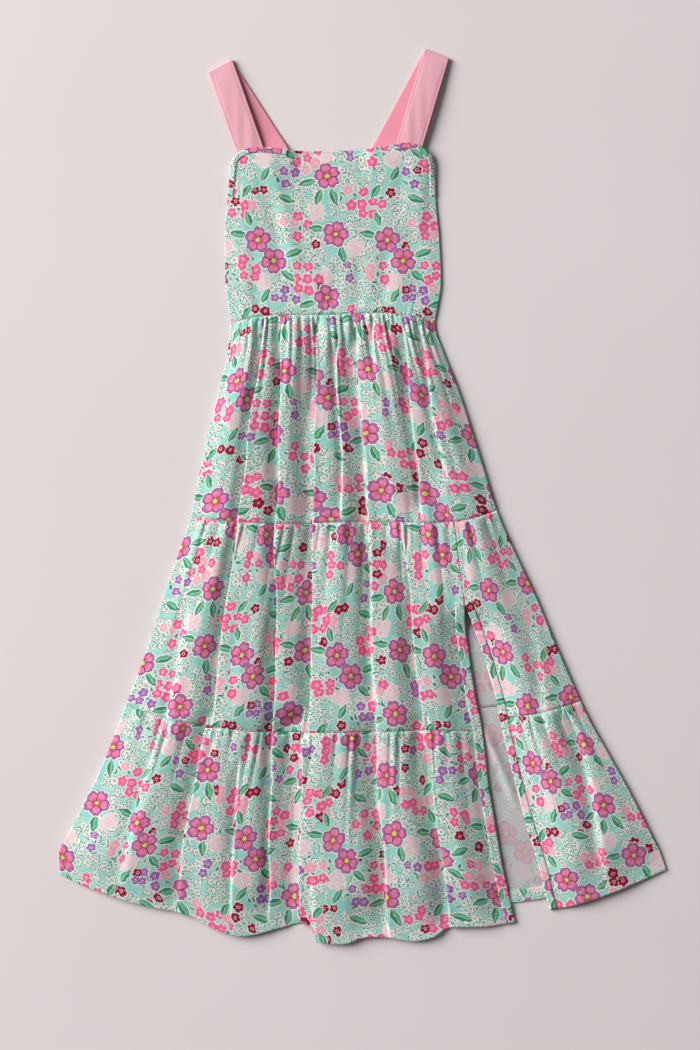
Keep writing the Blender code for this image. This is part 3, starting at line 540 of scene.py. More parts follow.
def shell(node, outer, wall, cloth, materials, lower_share=0.1):
    """A thin closed piece of cloth over a node, from its outer face's grid of points, in row
    metres. cloth is the same grid's places on the flat printed cloth, in metres. The outer face
    takes the first material and the inner one the last. lower_share is the inner face's part of
    the bake map."""
    grids[node] = outer
    name = node + "_cloth"
    rows, columns = outer.shape[:2]
    inner = outer - grid_normals(outer) * wall * MM
    points = np.concatenate([outer.reshape(-1, 3), inner.reshape(-1, 3)])
    count = rows * columns
    top_row = np.arange(columns)
    right_column = np.arange(2, rows) * columns - 1
    bottom_row = np.arange(count - 1, count - columns - 1, -1)
    left_column = np.arange(rows - 2, 0, -1) * columns
    ring = np.concatenate([top_row, right_column, bottom_row, left_column])
    following = np.roll(ring, -1)
    rim = np.stack([ring, following, following + count, ring + count], 1)
    upper = grid_quads(rows, columns, 0, False)
    lower = grid_quads(rows, columns, count, True)
    faces = np.concatenate([upper, lower, rim])

    mesh = bpy.data.meshes.new(name)
    mesh.vertices.add(len(points))
    mesh.vertices.foreach_set("co", points.ravel())
    mesh.loops.add(faces.size)
    mesh.loops.foreach_set("vertex_index", faces.ravel().astype(np.int32))
    mesh.polygons.add(len(faces))
    mesh.polygons.foreach_set("loop_start", np.arange(0, faces.size, 4, dtype=np.int32))
    slots = np.zeros(len(faces), np.int32)
    slots[len(upper) : len(upper) + len(lower)] = len(materials) - 1
    mesh.polygons.foreach_set("material_index", slots)
    mesh.update(calc_edges=True)
    mesh.shade_smooth()

    flat = np.concatenate([cloth.reshape(-1, 2)] * 2)
    layer = mesh.uv_layers.new(name="cloth")
    layer.data.foreach_set("uv", flat[faces.ravel()].ravel())

    u = np.tile(np.linspace(0.0, 1.0, columns), rows)
    v = np.repeat(np.linspace(0.0, 1.0, rows), columns)
    floor = lower_share + 0.03
    upper_map = np.stack([u, mix(floor, 1.0, v)], 1)[upper.ravel()]
    lower_map = np.stack([u, lower_share * v], 1)[lower.ravel() - count]
    start = np.arange(len(rim)) / len(rim)
    end = start + 1 / len(rim)
    low = np.full(len(rim), lower_share + 0.01)
    high = np.full(len(rim), lower_share + 0.02)
    rim_map = np.stack([start, high, end, high, end, low, start, low], 1).reshape(-1, 2)
    layer = mesh.uv_layers.new(name="OFBake")
    layer.data.foreach_set("uv", np.concatenate([upper_map, lower_map, rim_map]).ravel())

    piece = new_object(name, mesh)
    for material in materials:
        mesh.materials.append(material)
    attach(piece, "root")
    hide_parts(node)
    return piece


class Value:
    """A number, place or colour that a material works out. Sums of numbers are plain sums."""

    def __init__(self, net, socket):
        self.net = net
        self.socket = socket

    def __add__(self, other):
        return self.net.m("ADD", self, other)

    def __sub__(self, other):
        return self.net.m("SUBTRACT", self, other)

    def __rsub__(self, other):
        return self.net.m("SUBTRACT", other, self)

    def __mul__(self, other):
        return self.net.m("MULTIPLY", self, other)

    def __gt__(self, other):
        return self.net.m("GREATER_THAN", self, other)

    def __lt__(self, other):
        return self.net.m("LESS_THAN", self, other)

    def __abs__(self):
        return self.net.m("ABSOLUTE", self)


class Net:
    """Steps of a procedural material, as functions of values and plain numbers."""

    def __init__(self, tree):
        self.nodes = tree.nodes
        self.links = tree.links

    def feed(self, entry, value):
        if isinstance(value, Value):
            self.links.new(value.socket, entry)
        else:
            entry.default_value = value

    def step(self, kind, inputs, **settings):
        """A new node's outputs, from its settings and its inputs by number or name."""
        node = self.nodes.new("ShaderNode" + kind)
        for setting, value in settings.items():
            setattr(node, setting, value)
        for key, value in inputs.items():
            self.feed(node.inputs[key], value)
        return [Value(self, socket) for socket in node.outputs]

    def m(self, operation, *values, clamp=False):
        return self.step("Math", dict(enumerate(values)), operation=operation, use_clamp=clamp)[0]

    def v(self, operation, *values, output=0):
        return self.step("VectorMath", dict(enumerate(values)), operation=operation)[output]

    def scaled(self, vector, scale):
        return self.step("VectorMath", {0: vector, 3: scale}, operation="SCALE")[0]

    def length(self, vector):
        return self.v("LENGTH", vector, output=1)

    def parts(self, vector):
        return self.step("SeparateXYZ", {0: vector})

    def pick(self, share, a, b):
        """The vector a where share is 0 and b where it is 1."""
        return self.step("Mix", {0: share, 4: a, 5: b}, data_type="VECTOR")[1]

    def paint(self, share, under, over):
        """The colour over laid on under where share is 1."""
        return self.step("Mix", {0: share, 6: under, 7: over}, data_type="RGBA")[2]

    def within(self, value, edge, softness=0.35):
        """1 where value is under edge, 0 above it, over a soft width."""
        return self.m("MULTIPLY_ADD", value, -1 / softness, edge / softness + 0.5, clamp=True)

    def noise(self, vector, scale, detail=1.0):
        inputs = {"Scale": scale, "Detail": detail, "Vector": vector}
        return self.step("TexNoise", inputs, noise_dimensions="2D")

    def cells(self, vector, size, randomness):
        """For each place, the distance to its cell's middle, the cell's chances and its middle."""
        inputs = {"Scale": 1 / size, "Randomness": randomness, "Vector": vector}
        return self.step("TexVoronoi", inputs, voronoi_dimensions="2D")

    def own_place(self):
        """A place in the object's own metres."""
        return Value(self, self.nodes.new("ShaderNodeTexCoord").outputs["Object"])


def srgb(red, green, blue):
    """A colour from 0 to 255 as seen, as the renderer's light values."""
    seen = (red / 255, green / 255, blue / 255)
    linear = [c / 12.92 if c <= 0.04045 else ((c + 0.055) / 1.055) ** 2.4 for c in seen]
    return (*linear, 1.0)


# The print: a repeat of loose garden flowers, in millimetres on the flat cloth, y down
REPEAT = (138.0, 130.0)
AQUA = srgb(152, 222, 208)
CREAM = srgb(244, 238, 232)
PEONY = srgb(240, 222, 222)
LINE_TEAL = srgb(34, 158, 141)
LEAF_TEAL = srgb(52, 150, 128)
LEAF_LIGHT = srgb(92, 182, 156)
LEAF_VEIN = srgb(178, 212, 138)
CRIMSON = srgb(164, 24, 66)
SALMON = srgb(246, 142, 172)
SALMON_DEEP = srgb(226, 104, 150)
MAUVE = srgb(178, 112, 172)
PLUM = srgb(132, 62, 122)
HOT_PINK = srgb(250, 104, 158)
PALE_PINK = srgb(250, 176, 192)
PURPLE = srgb(164, 108, 178)
FLOWER_EYE = srgb(206, 226, 120)

# The sizes of the cells that hold one curl, sprig, lace blossom or small flower each
CURL_CELL = 4.6
SPRIG_CELL = 7.8
LACE_CELL = 9.7
FLOWER_CELL = 11.4
CURL_RADIUS = 1.75
PEONY_RADIUS = 8.6
PETAL_MIDDLE = 8.6
PETAL_EDGE = 6.1
LEAF_HALF_WIDTH = 3.2
LEAF_TIP = 6.6
# About a whole turn, which a cell's chance from 0 to 1 is a share of
WHOLE_TURN = 6.3

# x, y, turn
LARGE_FLOWERS = (
    (30, 26, 0.2), (47, 48, 0.9), (104, 88, 0.5), (113, 20, 1.3),
)
# x, y, degrees from x to y, size
LEAVES = (
    (10, 20, 190, 1.25), (20, 4, 250, 1.1), (68, 40, -20, 1.3), (62, 64, 40, 1.2),
    (83, 95, 165, 1.25), (111, 110, 70, 1.3), (95, 110, 110, 1.2), (93, 14, 188, 1.2),
    (120, 41, 75, 1.25), (38, 86, -60, 1.15), (18, 104, 125, 1.1), (60, 112, 20, 1.3),
)
# x, y, radius
PINK_BEDS = ((80, 66, 17), (18, 60, 14), (70, 10, 15), (12, 120, 14), (132, 112, 13))
PURPLE_BEDS = ((60, 86, 12), (130, 60, 9))
CRIMSON_BEDS = ((32, 104, 9), (90, 36, 8))
LACE_BEDS = (
    (86, 32, 20), (76, 112, 20), (130, 88, 16), (2, 40, 17), (8, 86, 18), (42, 122, 19),
    (120, 130, 14), (50, 74, 13), (112, 60, 15), (54, 18, 12), (134, 8, 14),
)
# x, y
PEONIES = ((134, 34), (100, 66), (94, 126), (36, 70))


def wrapped(net, place, x, y):
    """The way to a place of the repeat from its nearest copy of (x, y)."""
    half = (REPEAT[0] / 2, REPEAT[1] / 2, 1.0)
    away = net.v("SUBTRACT", place, (x, y, 0.0))
    return net.v("WRAP", away, half, (-half[0], -half[1], -1.0))


def nearest(net, place, rows):
    """The way from the nearest of the rows' places, its length and that row's facts."""
    best, best_way, best_facts = None, None, None
    for x, y, facts in rows:
        way = wrapped(net, place, x, y)
        length = net.length(way)
        if best is None:
            best, best_way, best_facts = length, way, facts
            continue
        nearer = length < best
        best_way = net.pick(nearer, best_way, way)
        best_facts = net.pick(nearer, best_facts, facts)
        best = net.m("MINIMUM", length, best)
    return best_way, best, best_facts


def bed_edge(net, place, rows):
    """How far a place is outside the nearest of some round beds; negative inside."""
    best = None
    for x, y, radius in rows:
        outside = net.length(wrapped(net, place, x, y)) - radius
        best = outside if best is None else net.m("MINIMUM", outside, best)
    return best


def direction(net, way):
    x, y, _ = net.parts(way)
    return net.m("ARCTAN2", y, x)


def five_petals(net, way, chance):
    """How far out five round petals reach, from 0 to 1, turned by chance."""
    angle = chance * WHOLE_TURN + direction(net, way)
    return net.m("SQRT", abs(net.m("COSINE", angle * 2.5)))


def paint_ground(net, place, lace, beds):
    """Aqua with thin pale curls, more of them near the beds."""
    curls = net.cells(place, CURL_CELL, 1.0)
    curl = abs(curls[0] * CURL_CELL - CURL_RADIUS)
    inked = net.within(curl, 0.26, 0.5) * (net.parts(curls[1])[0] > 0.3)
    near = net.m("MAXIMUM", net.within(lace, 3.0, 3.0), net.within(beds, 3.0, 3.0))
    return net.paint(inked * (near * 0.6 + 0.3), AQUA, CREAM)


def paint_sprigs(net, place, colour, beds):
    """A small teal leaf to a cell, with a pale halo."""
    sprig = net.cells(place, SPRIG_CELL, 0.85)
    chance = net.parts(sprig[1])
    turn = chance[0] * WHOLE_TURN
    across, down, _ = net.parts(net.v("SUBTRACT", place, sprig[2]))
    cosine, sine = net.m("COSINE", turn), net.m("SINE", turn)
    along = across * cosine + down * sine
    edge = abs(down * cosine - across * sine) - (along * along * -0.1 + 1.3)
    shown = net.within(beds, 3.5, 3.0) * (chance[1] > 0.25)
    colour = net.paint(net.within(edge, 0.9, 0.5) * shown, colour, CREAM)
    return net.paint(net.within(edge, 0.0) * shown, colour, LEAF_TEAL)


def paint_lace(net, place, colour, lace):
    """Pale blossoms drawn in thin teal lines."""
    bloom = net.cells(place, LACE_CELL, 0.6)
    way = net.v("SUBTRACT", place, bloom[2])
    length = net.length(way)
    chance = net.parts(bloom[1])
    outside = length - (five_petals(net, way, chance[1]) * 1.9 + (chance[0] * 0.9 + 2.0))
    shown = net.within(lace, 2.5, 1.0)
    colour = net.paint(net.within(outside, 1.15, 0.5) * shown, colour, CREAM)
    gaps = net.noise(place, 0.42, 0.0)[0] > 0.36
    ring = net.within(abs(outside), 0.56, 0.4) * gaps
    heart = net.within(abs(length - 1.05), 0.42, 0.4) * 0.9
    return net.paint(net.m("MAXIMUM", ring, heart) * shown, colour, LINE_TEAL)


def paint_peonies(net, place, colour, drift):
    """Pale full blossoms with loose pink strokes."""
    rows = [(x, y, (0.0, 0.0, 0.0)) for x, y in PEONIES]
    way, length, _ = nearest(net, place, rows)
    lobes = net.m("SINE", direction(net, way) * 7.0)
    edge = drift * 0.5 + (lobes * -0.8 + length)
    colour = net.paint(net.within(edge, PEONY_RADIUS + 1.2), colour, CREAM)
    colour = net.paint(net.within(edge, PEONY_RADIUS), colour, PEONY)
    rings = abs(net.m("FRACT", (drift * 0.7 + length) * 0.30) - 0.5)
    broken = net.noise(place, 0.24, 0.0)[0] > 0.44
    strokes = net.within(rings, 0.11, 0.1) * broken * net.within(edge, PEONY_RADIUS + 0.4)
    return net.paint(strokes, colour, PALE_PINK)


def paint_small_flowers(net, place, colour):
    """One flower to a cell, where the cell's own middle is in a bed."""
    cell = net.cells(place, FLOWER_CELL, 0.55)
    middle, chance = cell[2], net.parts(cell[1])
    pink, purple, crimson = (
        bed_edge(net, middle, beds) < 0.0 for beds in (PINK_BEDS, PURPLE_BEDS, CRIMSON_BEDS)
    )
    crimson = net.m("MAXIMUM", crimson, chance[0] > 0.975)
    shown = net.m("MAXIMUM", net.m("MAXIMUM", pink, purple), crimson)
    tint = net.paint(chance[0] < 0.25, HOT_PINK, PALE_PINK)
    tint = net.paint(purple, tint, PURPLE)
    tint = net.paint(crimson, tint, CRIMSON)
    way = net.v("SUBTRACT", place, middle)
    length = net.length(way)
    size = purple * -0.6 + (chance[1] * 1.3 + 2.9)
    edge = length - (five_petals(net, way, chance[2]) * 2.2 + size)
    colour = net.paint(net.within(edge, 1.1) * shown, colour, CREAM)
    colour = net.paint(net.within(edge, 0.0) * shown, colour, tint)
    eye = net.within(abs(length - 1.35), 0.3) * shown
    return net.paint(eye * 0.8, colour, CREAM)


def paint_leaves(net, place, colour):
    """Leaves with a pale vein, a lighter half and a crimson tip."""
    rows = []
    for x, y, degrees, size in LEAVES:
        turn = math.radians(degrees)
        rows.append((x, y, (math.cos(turn) / size, math.sin(turn) / size, 0.0)))
    way, _, facts = nearest(net, place, rows)
    along = net.v("DOT_PRODUCT", way, facts, output=1)
    beside = net.parts(net.v("CROSS_PRODUCT", facts, way))[2]
    edge = abs(beside) - (along * along * -0.05 + LEAF_HALF_WIDTH)
    colour = net.paint(net.within(edge, 0.9, 0.5), colour, CREAM)
    leaf = net.paint(net.within(beside, 0.0, 0.8), LEAF_TEAL, LEAF_LIGHT)
    vein = net.within(abs(beside), 0.4) * net.within(along, 5.0)
    leaf = net.paint(vein, leaf, LEAF_VEIN)
    leaf = net.paint(net.within(along * -1.0, -LEAF_TIP), leaf, CRIMSON)
    return net.paint(net.within(edge, 0.0), colour, leaf)


def paint_large_flowers(net, place, colour):
    """Five salmon petals, notched at the tip, with broad mauve rims, round a yellow-green eye."""
    rows = [(x, y, (turn, 0.0, 0.0)) for x, y, turn in LARGE_FLOWERS]
    way, length, facts = nearest(net, place, rows)
    fifth = math.pi / 5
    angle = direction(net, way) + net.parts(facts)[0]
    angle = net.m("WRAP", angle, fifth, -fifth)
    side = length * net.m("SINE", angle)
    beside = abs(side)
    from_petal = length * net.m("COSINE", angle) - PETAL_MIDDLE
    petal = net.m("SQRT", from_petal * from_petal + side * side)
    notch = net.m("MAXIMUM", 1.9 - beside, 0.0) * 0.75
    petal = petal + notch * (from_petal > 0.0)
    rough = net.noise(place, 0.5, 1.0)[0] * 3.0 - 1.5
    colour = net.paint(net.within(petal, PETAL_EDGE + 1.1, 0.5), colour, CREAM)
    flower = net.paint(net.within(from_petal * 0.42 + petal + rough, 4.0, 0.8), MAUVE, SALMON)
    flower = net.paint(net.within(length + rough * 1.2, 6.2, 3.0), flower, SALMON_DEEP)
    between = net.m("SINE", fifth - abs(angle)) * length
    flower = net.paint(net.within(between, 0.5), flower, PLUM)
    flower = net.paint(net.within(beside, 0.3) * 0.6, flower, SALMON_DEEP)
    inside = net.m("MINIMUM", petal, length + 0.8)
    flower = net.paint(net.within(PETAL_EDGE - inside, 0.55), flower, PLUM)
    colour = net.paint(net.within(inside, PETAL_EDGE), colour, flower)
    colour = net.paint(net.within(length, 3.2), colour, CRIMSON)
    return net.paint(net.within(length, 2.5), colour, FLOWER_EYE)


def print_group():
    """The print's colour as a node group of the cloth's place in millimetres."""
    tree = bpy.data.node_groups.new("print", "ShaderNodeTree")
    tree.interface.new_socket("Place", in_out="INPUT", socket_type="NodeSocketVector")
    tree.interface.new_socket("Colour", in_out="OUTPUT", socket_type="NodeSocketColor")
    net = Net(tree)
    given = Value(net, tree.nodes.new("NodeGroupInput").outputs[0])
    wobble = net.scaled(net.v("SUBTRACT", net.noise(given, 0.22, 1.0)[1], (0.5, 0.5, 0.5)), 2.6)
    place = net.v("MULTIPLY", net.v("ADD", given, wobble), (1.0, 1.0, 0.0))
    drift = net.noise(given, 0.075, 2.0)[0] * 22.0 - 11.0
    lace = bed_edge(net, place, LACE_BEDS) + drift * 0.6
    beds = bed_edge(net, place, PINK_BEDS + PURPLE_BEDS)
    colour = paint_ground(net, place, lace, beds)
    colour = paint_sprigs(net, place, colour, beds)
    colour = paint_lace(net, place, colour, lace)
    colour = paint_peonies(net, place, colour, drift)
    colour = paint_small_flowers(net, place, colour)
    colour = paint_leaves(net, place, colour)
    colour = paint_large_flowers(net, place, colour)
    net.feed(tree.nodes.new("NodeGroupOutput").inputs[0], colour)
    return tree


def new_material(name, roughness):
    """A material with the net of its nodes and the inputs of its shader."""
    material = bpy.data.materials.new(name)
    material.use_nodes = True
    inputs = material.node_tree.nodes["Principled BSDF"].inputs
    inputs["Roughness"].default_value = roughness
    return material, Net(material.node_tree), inputs


# The cloth's threads, in waves to a millimetre of cloth, and how much they shade and lift it
WEAVE_PACE = 8.0
WEAVE_SHADE = 0.012
WEAVE_LIFT = 0.12
CLOTH_BUMP = 0.0003


def cloth_material(name, group, show, plain, roughness):
    """Woven cotton. group is the print or None, and show how much of it comes through plain."""
    material, net, inputs = new_material(name, roughness)
    place = net.scaled(net.step("UVMap", {}, uv_map="cloth")[0], 1000.0)
    if group is None:
        colour = plain[:3]
    else:
        colour = net.step("Group", {0: place}, node_tree=group)[0]
        if show < 1.0:
            colour = net.paint(show, plain, colour)
    cloudy = net.noise(place, 0.35, 3.0)[0]
    x, y, _ = net.parts(place)
    weave = net.m("SINE", x * WEAVE_PACE) * net.m("SINE", y * WEAVE_PACE)
    tone = weave * WEAVE_SHADE + (cloudy * 0.10 + 0.80)
    net.feed(inputs["Base Color"], net.scaled(colour, tone))
    height = net.noise(place, 0.9, 2.0)[0] + weave * WEAVE_LIFT
    bump = net.step("Bump", {"Strength": 0.35, "Distance": CLOTH_BUMP, "Height": height})[0]
    net.feed(inputs["Normal"], bump)
    inputs["Sheen Weight"].default_value = 0.06
    inputs["Sheen Roughness"].default_value = 0.5
    inputs["Specular IOR Level"].default_value = 0.12
    return material


def thread_material(name, colour):
    material, net, inputs = new_material(name, 0.7)
    twist = net.noise(net.scaled(net.own_place(), 1000.0), 2.0, 1.0)[0]
    pale = tuple(min(1.0, c * 1.15) for c in colour[:3]) + (1.0,)
    net.feed(inputs["Base Color"], net.paint(twist, colour, pale))
    return material


GROUP = print_group()
PRINT = cloth_material("printed_cotton", GROUP, 1.0, None, 0.86)
INSIDE = cloth_material("printed_cotton_inside", GROUP, 0.27, srgb(204, 196, 198), 0.9)
PINK = cloth_material("pink_cotton", None, 0.0, srgb(248, 184, 198), 0.84)
# The ribbon's wrong side, which the straps' back runs show, made a deeper pink than its right
# side: painted shade for where the front runs shade the back runs.
PINK_INSIDE_PAINTED_SHADE = cloth_material("pink_cotton_inside_painted_shade", None, 0.0, srgb(252, 164, 182), 0.88)
PRINT_THREAD = thread_material("aqua_thread", srgb(190, 220, 210))
PINK_THREAD = thread_material("pink_thread", srgb(238, 146, 170))

# Each piece's grid of outer points, and for a front panel its rows' shares and its height too
grids = {}
panel_rows = {}

ROWS_FROM_TOP = (0.0, 0.5, 1.0, 1.5, 2.0, 2.6, 3.3, 4.2, 5.2, 6.4, 7.8, 9.4)
ROWS_FROM_END = (3.4, 2.2, 1.3, 0.7, 0.3, 0.0)


def row_places(height):
    """Distances down a panel's grid, close at both edges."""
    end = [height - gap for gap in ROWS_FROM_END]
    count = int((end[0] - ROWS_FROM_TOP[-1]) / ROW_STEP)
    middle = np.linspace(ROWS_FROM_TOP[-1], end[0], count + 1)[1:-1]
    return np.concatenate([ROWS_FROM_TOP, middle, end])


def panel_height(place, u):
    ends = place(u, np.array([0.0, 1.0]))
    return float(np.median(np.linalg.norm(ends[1] - ends[0], axis=1)))


# Out past the edge, share of the way down to the roll's end
SIDE_ROLL = ((0.38, 0.12), (0.72, 0.36), (0.85, 0.66), (0.7, 1.0))
SIDE_ROLL_END = 1.0
ROLL_CLOTH_STEP = 0.7


def with_side_roll(across, down, level, cloth, left):
    """The grid with columns added that roll its outer side edge down towards the ground."""
    edge, sign = (0, -1.0) if left else (-1, 1.0)
    outs, shares = np.array(SIDE_ROLL).T
    cloth_steps = sign * ROLL_CLOTH_STEP * MM * np.arange(1, len(outs) + 1)
    added = (
        across[:, edge, None] + sign * outs,
        down[:, edge, None] + 0 * outs,
        mix(level[:, edge, None], SIDE_ROLL_END, shares),
        cloth[:, edge, None] + np.stack([cloth_steps, 0 * cloth_steps], 1),
    )
    wider = []
    for grid, columns in zip((across, down, level, cloth), added):
        parts = [columns[:, ::-1], grid] if left else [grid, columns]
        wider.append(np.concatenate(parts, 1))
    return wider


def print_place(across_cloth, down_cloth, offset):
    return np.stack([across_cloth + offset[0], down_cloth + offset[1]], -1) * MM


NARROWEST_CUT = 10.0


def declare_sheet(rests_on, width, height):
    """Works out a piece's flat cut in metres from millimetres, and for a strip narrower than 10
    its area too, but hands them to nothing.
    """
    flat = (max(width, NARROWEST_CUT) * MM, height * MM)
    area = width * height * MM * MM if width < NARROWEST_CUT else None


def gather_waves(across, down, turns, free, edges, order):
    """The rise of the gathers below a tier's seam: long puffs, and small ripples at the seam."""
    strength = gather_strengths(turns, 7 * order)
    swell = 1.0 - np.exp(-free / GATHER_SWELL)
    fade = np.exp(-free / (GATHER_LENGTH * strength))
    room = edges * gather_room(across, down)
    puff = 1.3 * np.abs(np.cos(math.pi * turns)) ** 0.8 - 0.3
    wave = GATHER_HEIGHT * strength * puff * swell * fade * room
    small = np.abs(np.sin(2 * math.pi * turns + 0.9 * np.sin(turns * 1.7)))
    small = (small - 0.45) * (0.6 + 0.5 * np.sin(turns * 4.3 + order))
    small = small * (1 - np.exp(-free / RIPPLE_SWELL)) * np.exp(-free / RIPPLE_LENGTH) * edges
    if order == 0:
        return WAIST_GATHERS * wave + WAIST_RIPPLES * small
    return wave + SEAM_RIPPLES * small


def into_seam(above):
    """How far the cloth dips where its bottom edge is sewn to the next piece."""
    return SEAM_DIP * (1.0 - smooth_step(above / 1.8)) + 0.5 * hump(above, 3.5)


def front_panel(name, place, gathers, order, width, rolls, offset):
    """A tier of the front: gathered at its top seam, lying on the back and bowed by the folds."""
    even = np.linspace(0.0, 1.0, int(width / FRONT_STEP))
    height = panel_height(place, even)
    v = row_places(height) / height
    spots = place(even, v)
    u = crowded(even, spots[..., 0], spots[..., 1])

    def moved(grid):
        return np.stack([np.interp(at, even, row) for at, row in zip(u, grid)])

    across, down = moved(spots[..., 0]), moved(spots[..., 1])
    below = moved(np.linalg.norm(spots - spots[:1], axis=2))
    above = moved(np.linalg.norm(spots - spots[-1:], axis=2))
    turns = gather_turns(u, gathers, 1.3 * order)
    free = np.maximum(below - GATHER_START, 0.0)
    edges = smooth_step(np.minimum(u, 1 - u) * gathers)
    level = front_level(across, down) + gather_waves(across, down, turns, free, edges, order)
    level = level - TOP_SEAM_DIP * (1.0 - smooth_step((below - 1.3) / 2.4))
    if name.startswith("tier_3"):
        level = level - 0.4 * hump(above - HEM_STITCHES, 0.9)
        level = level - 0.5 * (1.0 - smooth_step(above / 1.2))
    else:
        level = level - into_seam(above)
    past_back = smooth_step((down - back_hem(across) - 1.0) / 7.0)
    level = np.maximum(level, mix(LOWEST_OVER_BACK, LOWEST_PAST_BACK, past_back))

    # The cloth that the gathers bunch up and the folds take out of sight, as the print shows it
    squeeze = 0.45 * np.exp(-free / 60.0) * edges
    cloth_x = width * (u - squeeze * np.sin(2 * math.pi * turns) / (2 * math.pi * gathers))
    for row in FOLDS:
        past = across - fold_middle(row, down) - 0.4 * row.right
        share = hidden_share(row, down, down[0].mean(), down[-1].mean())
        cloth_x = cloth_x + row.hidden * smooth_step(past / 2.6 + 0.5) * share
    shape = (across - lip_lean(across, down), down, level, print_place(cloth_x, below, offset))
    if rolls[0]:
        shape = with_side_roll(*shape, left=True)
    if rolls[1]:
        shape = with_side_roll(*shape, left=False)
    across, down, level, cloth = shape
    outer = to_row(across, down, level)
    piece = shell(name, outer, CLOTH_WALL, cloth, [PRINT, INSIDE])
    declare_sheet([name[:6] + "_back_cloth"], width, height)
    panel_rows[name] = (v, height)


# Out past the neckline, share of the edge's level
NECK_TURN = ((0.5, 0.55), (0.62, 0.72), (0.45, 0.9))
BODICE_HEIGHT = 178.0
BODICE_COLUMNS = 220
BODICE_PUCKERS = 56.0
BODICE_PUCKER_HEIGHT = 1.2


def bodice_puckers(u, above):
    """The small puckers above the waist seam, of uneven size and length."""
    run = u[None] * BODICE_PUCKERS + 0.35 * np.sin(u[None] * 90.0)
    size = 0.55 + 0.35 * np.sin(run * 2.1) + 0.3 * np.sin(run * 0.77 + 1.0)
    reach = 7.0 + 9.0 * np.maximum(np.sin(run * 1.3), 0.0)
    pucker = np.abs(np.cos(math.pi * run)) - 0.5
    pucker = pucker * size * np.exp(-above / reach) * smooth_step((above - 0.5) / 2.5)
    return BODICE_PUCKER_HEIGHT * pucker * smooth_step(9 * np.minimum(u, 1 - u)[None])


def bodice_front():
    place = panel_patch(neckline, waist, outline_left, outline_right, FRONT_OVER_SEAM)
    u = np.linspace(0.0, 1.0, BODICE_COLUMNS)
    v = row_places(BODICE_HEIGHT) / BODICE_HEIGHT
    spots = place(u, v)
    across, down = spots[..., 0], spots[..., 1]
    above = np.linalg.norm(spots - spots[-1:], axis=2)
    from_neck = np.linalg.norm(spots - spots[:1], axis=2)
    level = front_level(across, down) + bodice_puckers(u, above)
    bare = 1 - strap_share(across, down)
    level = level - 1.3 * bare * (1.0 - smooth_step(from_neck / 16.0))
    level = level - 0.35 * hump(from_neck - NECK_STITCHES, 0.8) - into_seam(above)
    cloth = print_place(across + 110.0, down, (0.0, 61.0))
    shape = with_side_roll(across, down, level, cloth, left=True)
    across, down, level, cloth = with_side_roll(*shape, left=False)

    # The neckline's turned edge
    outs, shares = np.array(NECK_TURN).T[:, :, None]
    steps = np.arange(len(NECK_TURN), 0, -1)[:, None, None]
    cloth = np.concatenate([cloth[:1] - steps * (0.0, ROLL_CLOTH_STEP * MM), cloth])
    across = np.concatenate([across[:1] + 0 * outs, across])
    down = np.concatenate([down[:1] - outs, down])
    level = np.concatenate([level[:1] * shares, level])
    outer = to_row(across, down, level)
    piece = shell("bodice_front", outer, CLOTH_WALL, cloth, [PRINT, INSIDE])
    declare_sheet(["bodice_back_cloth"], 226.0, 186.0)
    panel_rows["bodice_front"] = (v, BODICE_HEIGHT)


# How far a front panel reaches past the seam at its top and past the one at its bottom
FRONT_UNDER_SEAM = -1.0
FRONT_OVER_SEAM = 0.5


def build_front():
    bodice_front()
    # name, top seam, bottom seam, sides, gathers, width, rolled sides, place on the print
    rows = (
        ("tier_1_front", waist, upper_seam, outline_left, outline_right, 28, 306, (1, 1),
         (9, 88)),
        ("tier_2_front_main", upper_seam, lower_seam_main, outline_left, slit_left, 21, 379,
         (1, 0), (47, 12)),
        ("tier_2_front_side", upper_seam, lower_seam_side, slit_right, outline_right, 4, 94,
         (0, 1), (20, 70)),
        ("tier_3_front_main", lower_seam_main, hem_main, outline_left, slit_left, 25, 486,
         (1, 0), (101, 40)),
        ("tier_3_front_side", lower_seam_side, hem_side, slit_right, outline_right, 7, 132,
         (0, 1), (64, 103)),
    )
    for order, (name, top, low, side_a, side_b, gathers, width, rolls, offset) in enumerate(rows):
        top_edge = edge_along_seam(top, side_a, side_b, FRONT_UNDER_SEAM)
        shift = 0.0 if name.startswith("tier_3") else FRONT_OVER_SEAM
        place = panel_patch(top_edge, low, side_a, side_b, shift)
        front_panel(name, place, gathers, order, width, rolls, offset)


# The ends of the ridge that the back shows inside the slit, across and down
RIDGE_START = np.array((163.7, 622.0))
RIDGE_END = np.array((192.0, 690.0))
RIDGE_HEIGHT = 3.0


def back_level(across, down):
    """How far the back rises inside the slit: its soft ridge and slight unevenness."""
    length = np.linalg.norm(RIDGE_END - RIDGE_START)
    way = (RIDGE_END - RIDGE_START) / length
    x, y = across - RIDGE_START[0], down - RIDGE_START[1]
    along = x * way[0] + y * way[1]
    beside = x * way[1] - y * way[0]
    ends = smooth_step((along + 14) / 24) * smooth_step((length + 22 - along) / 34)
    ridge = RIDGE_HEIGHT * hump(beside, np.where(beside > 0, 6.0, 3.4)) * ends
    dip = 0.2 * hump(beside + 9.0, 5.0) * ends
    soft = 0.35 * uneven((across + 0.3 * down) / 21.0, 21) * uneven(down / 47.0, 22)
    inside = smooth_step((down - 480.0) / 60.0)
    return ridge - dip + (soft + 0.35) * 0.6 * inside


BACK_ROWS_FROM_TOP = (0.0, 0.8, 1.8, 3.2, 5.0, 7.5, 10.5, 14.0)
BACK_ROW_STEP = 4.0
COLUMNS_TO_A_GATHER = 10
BACK_GATHER_HEIGHT = 1.1


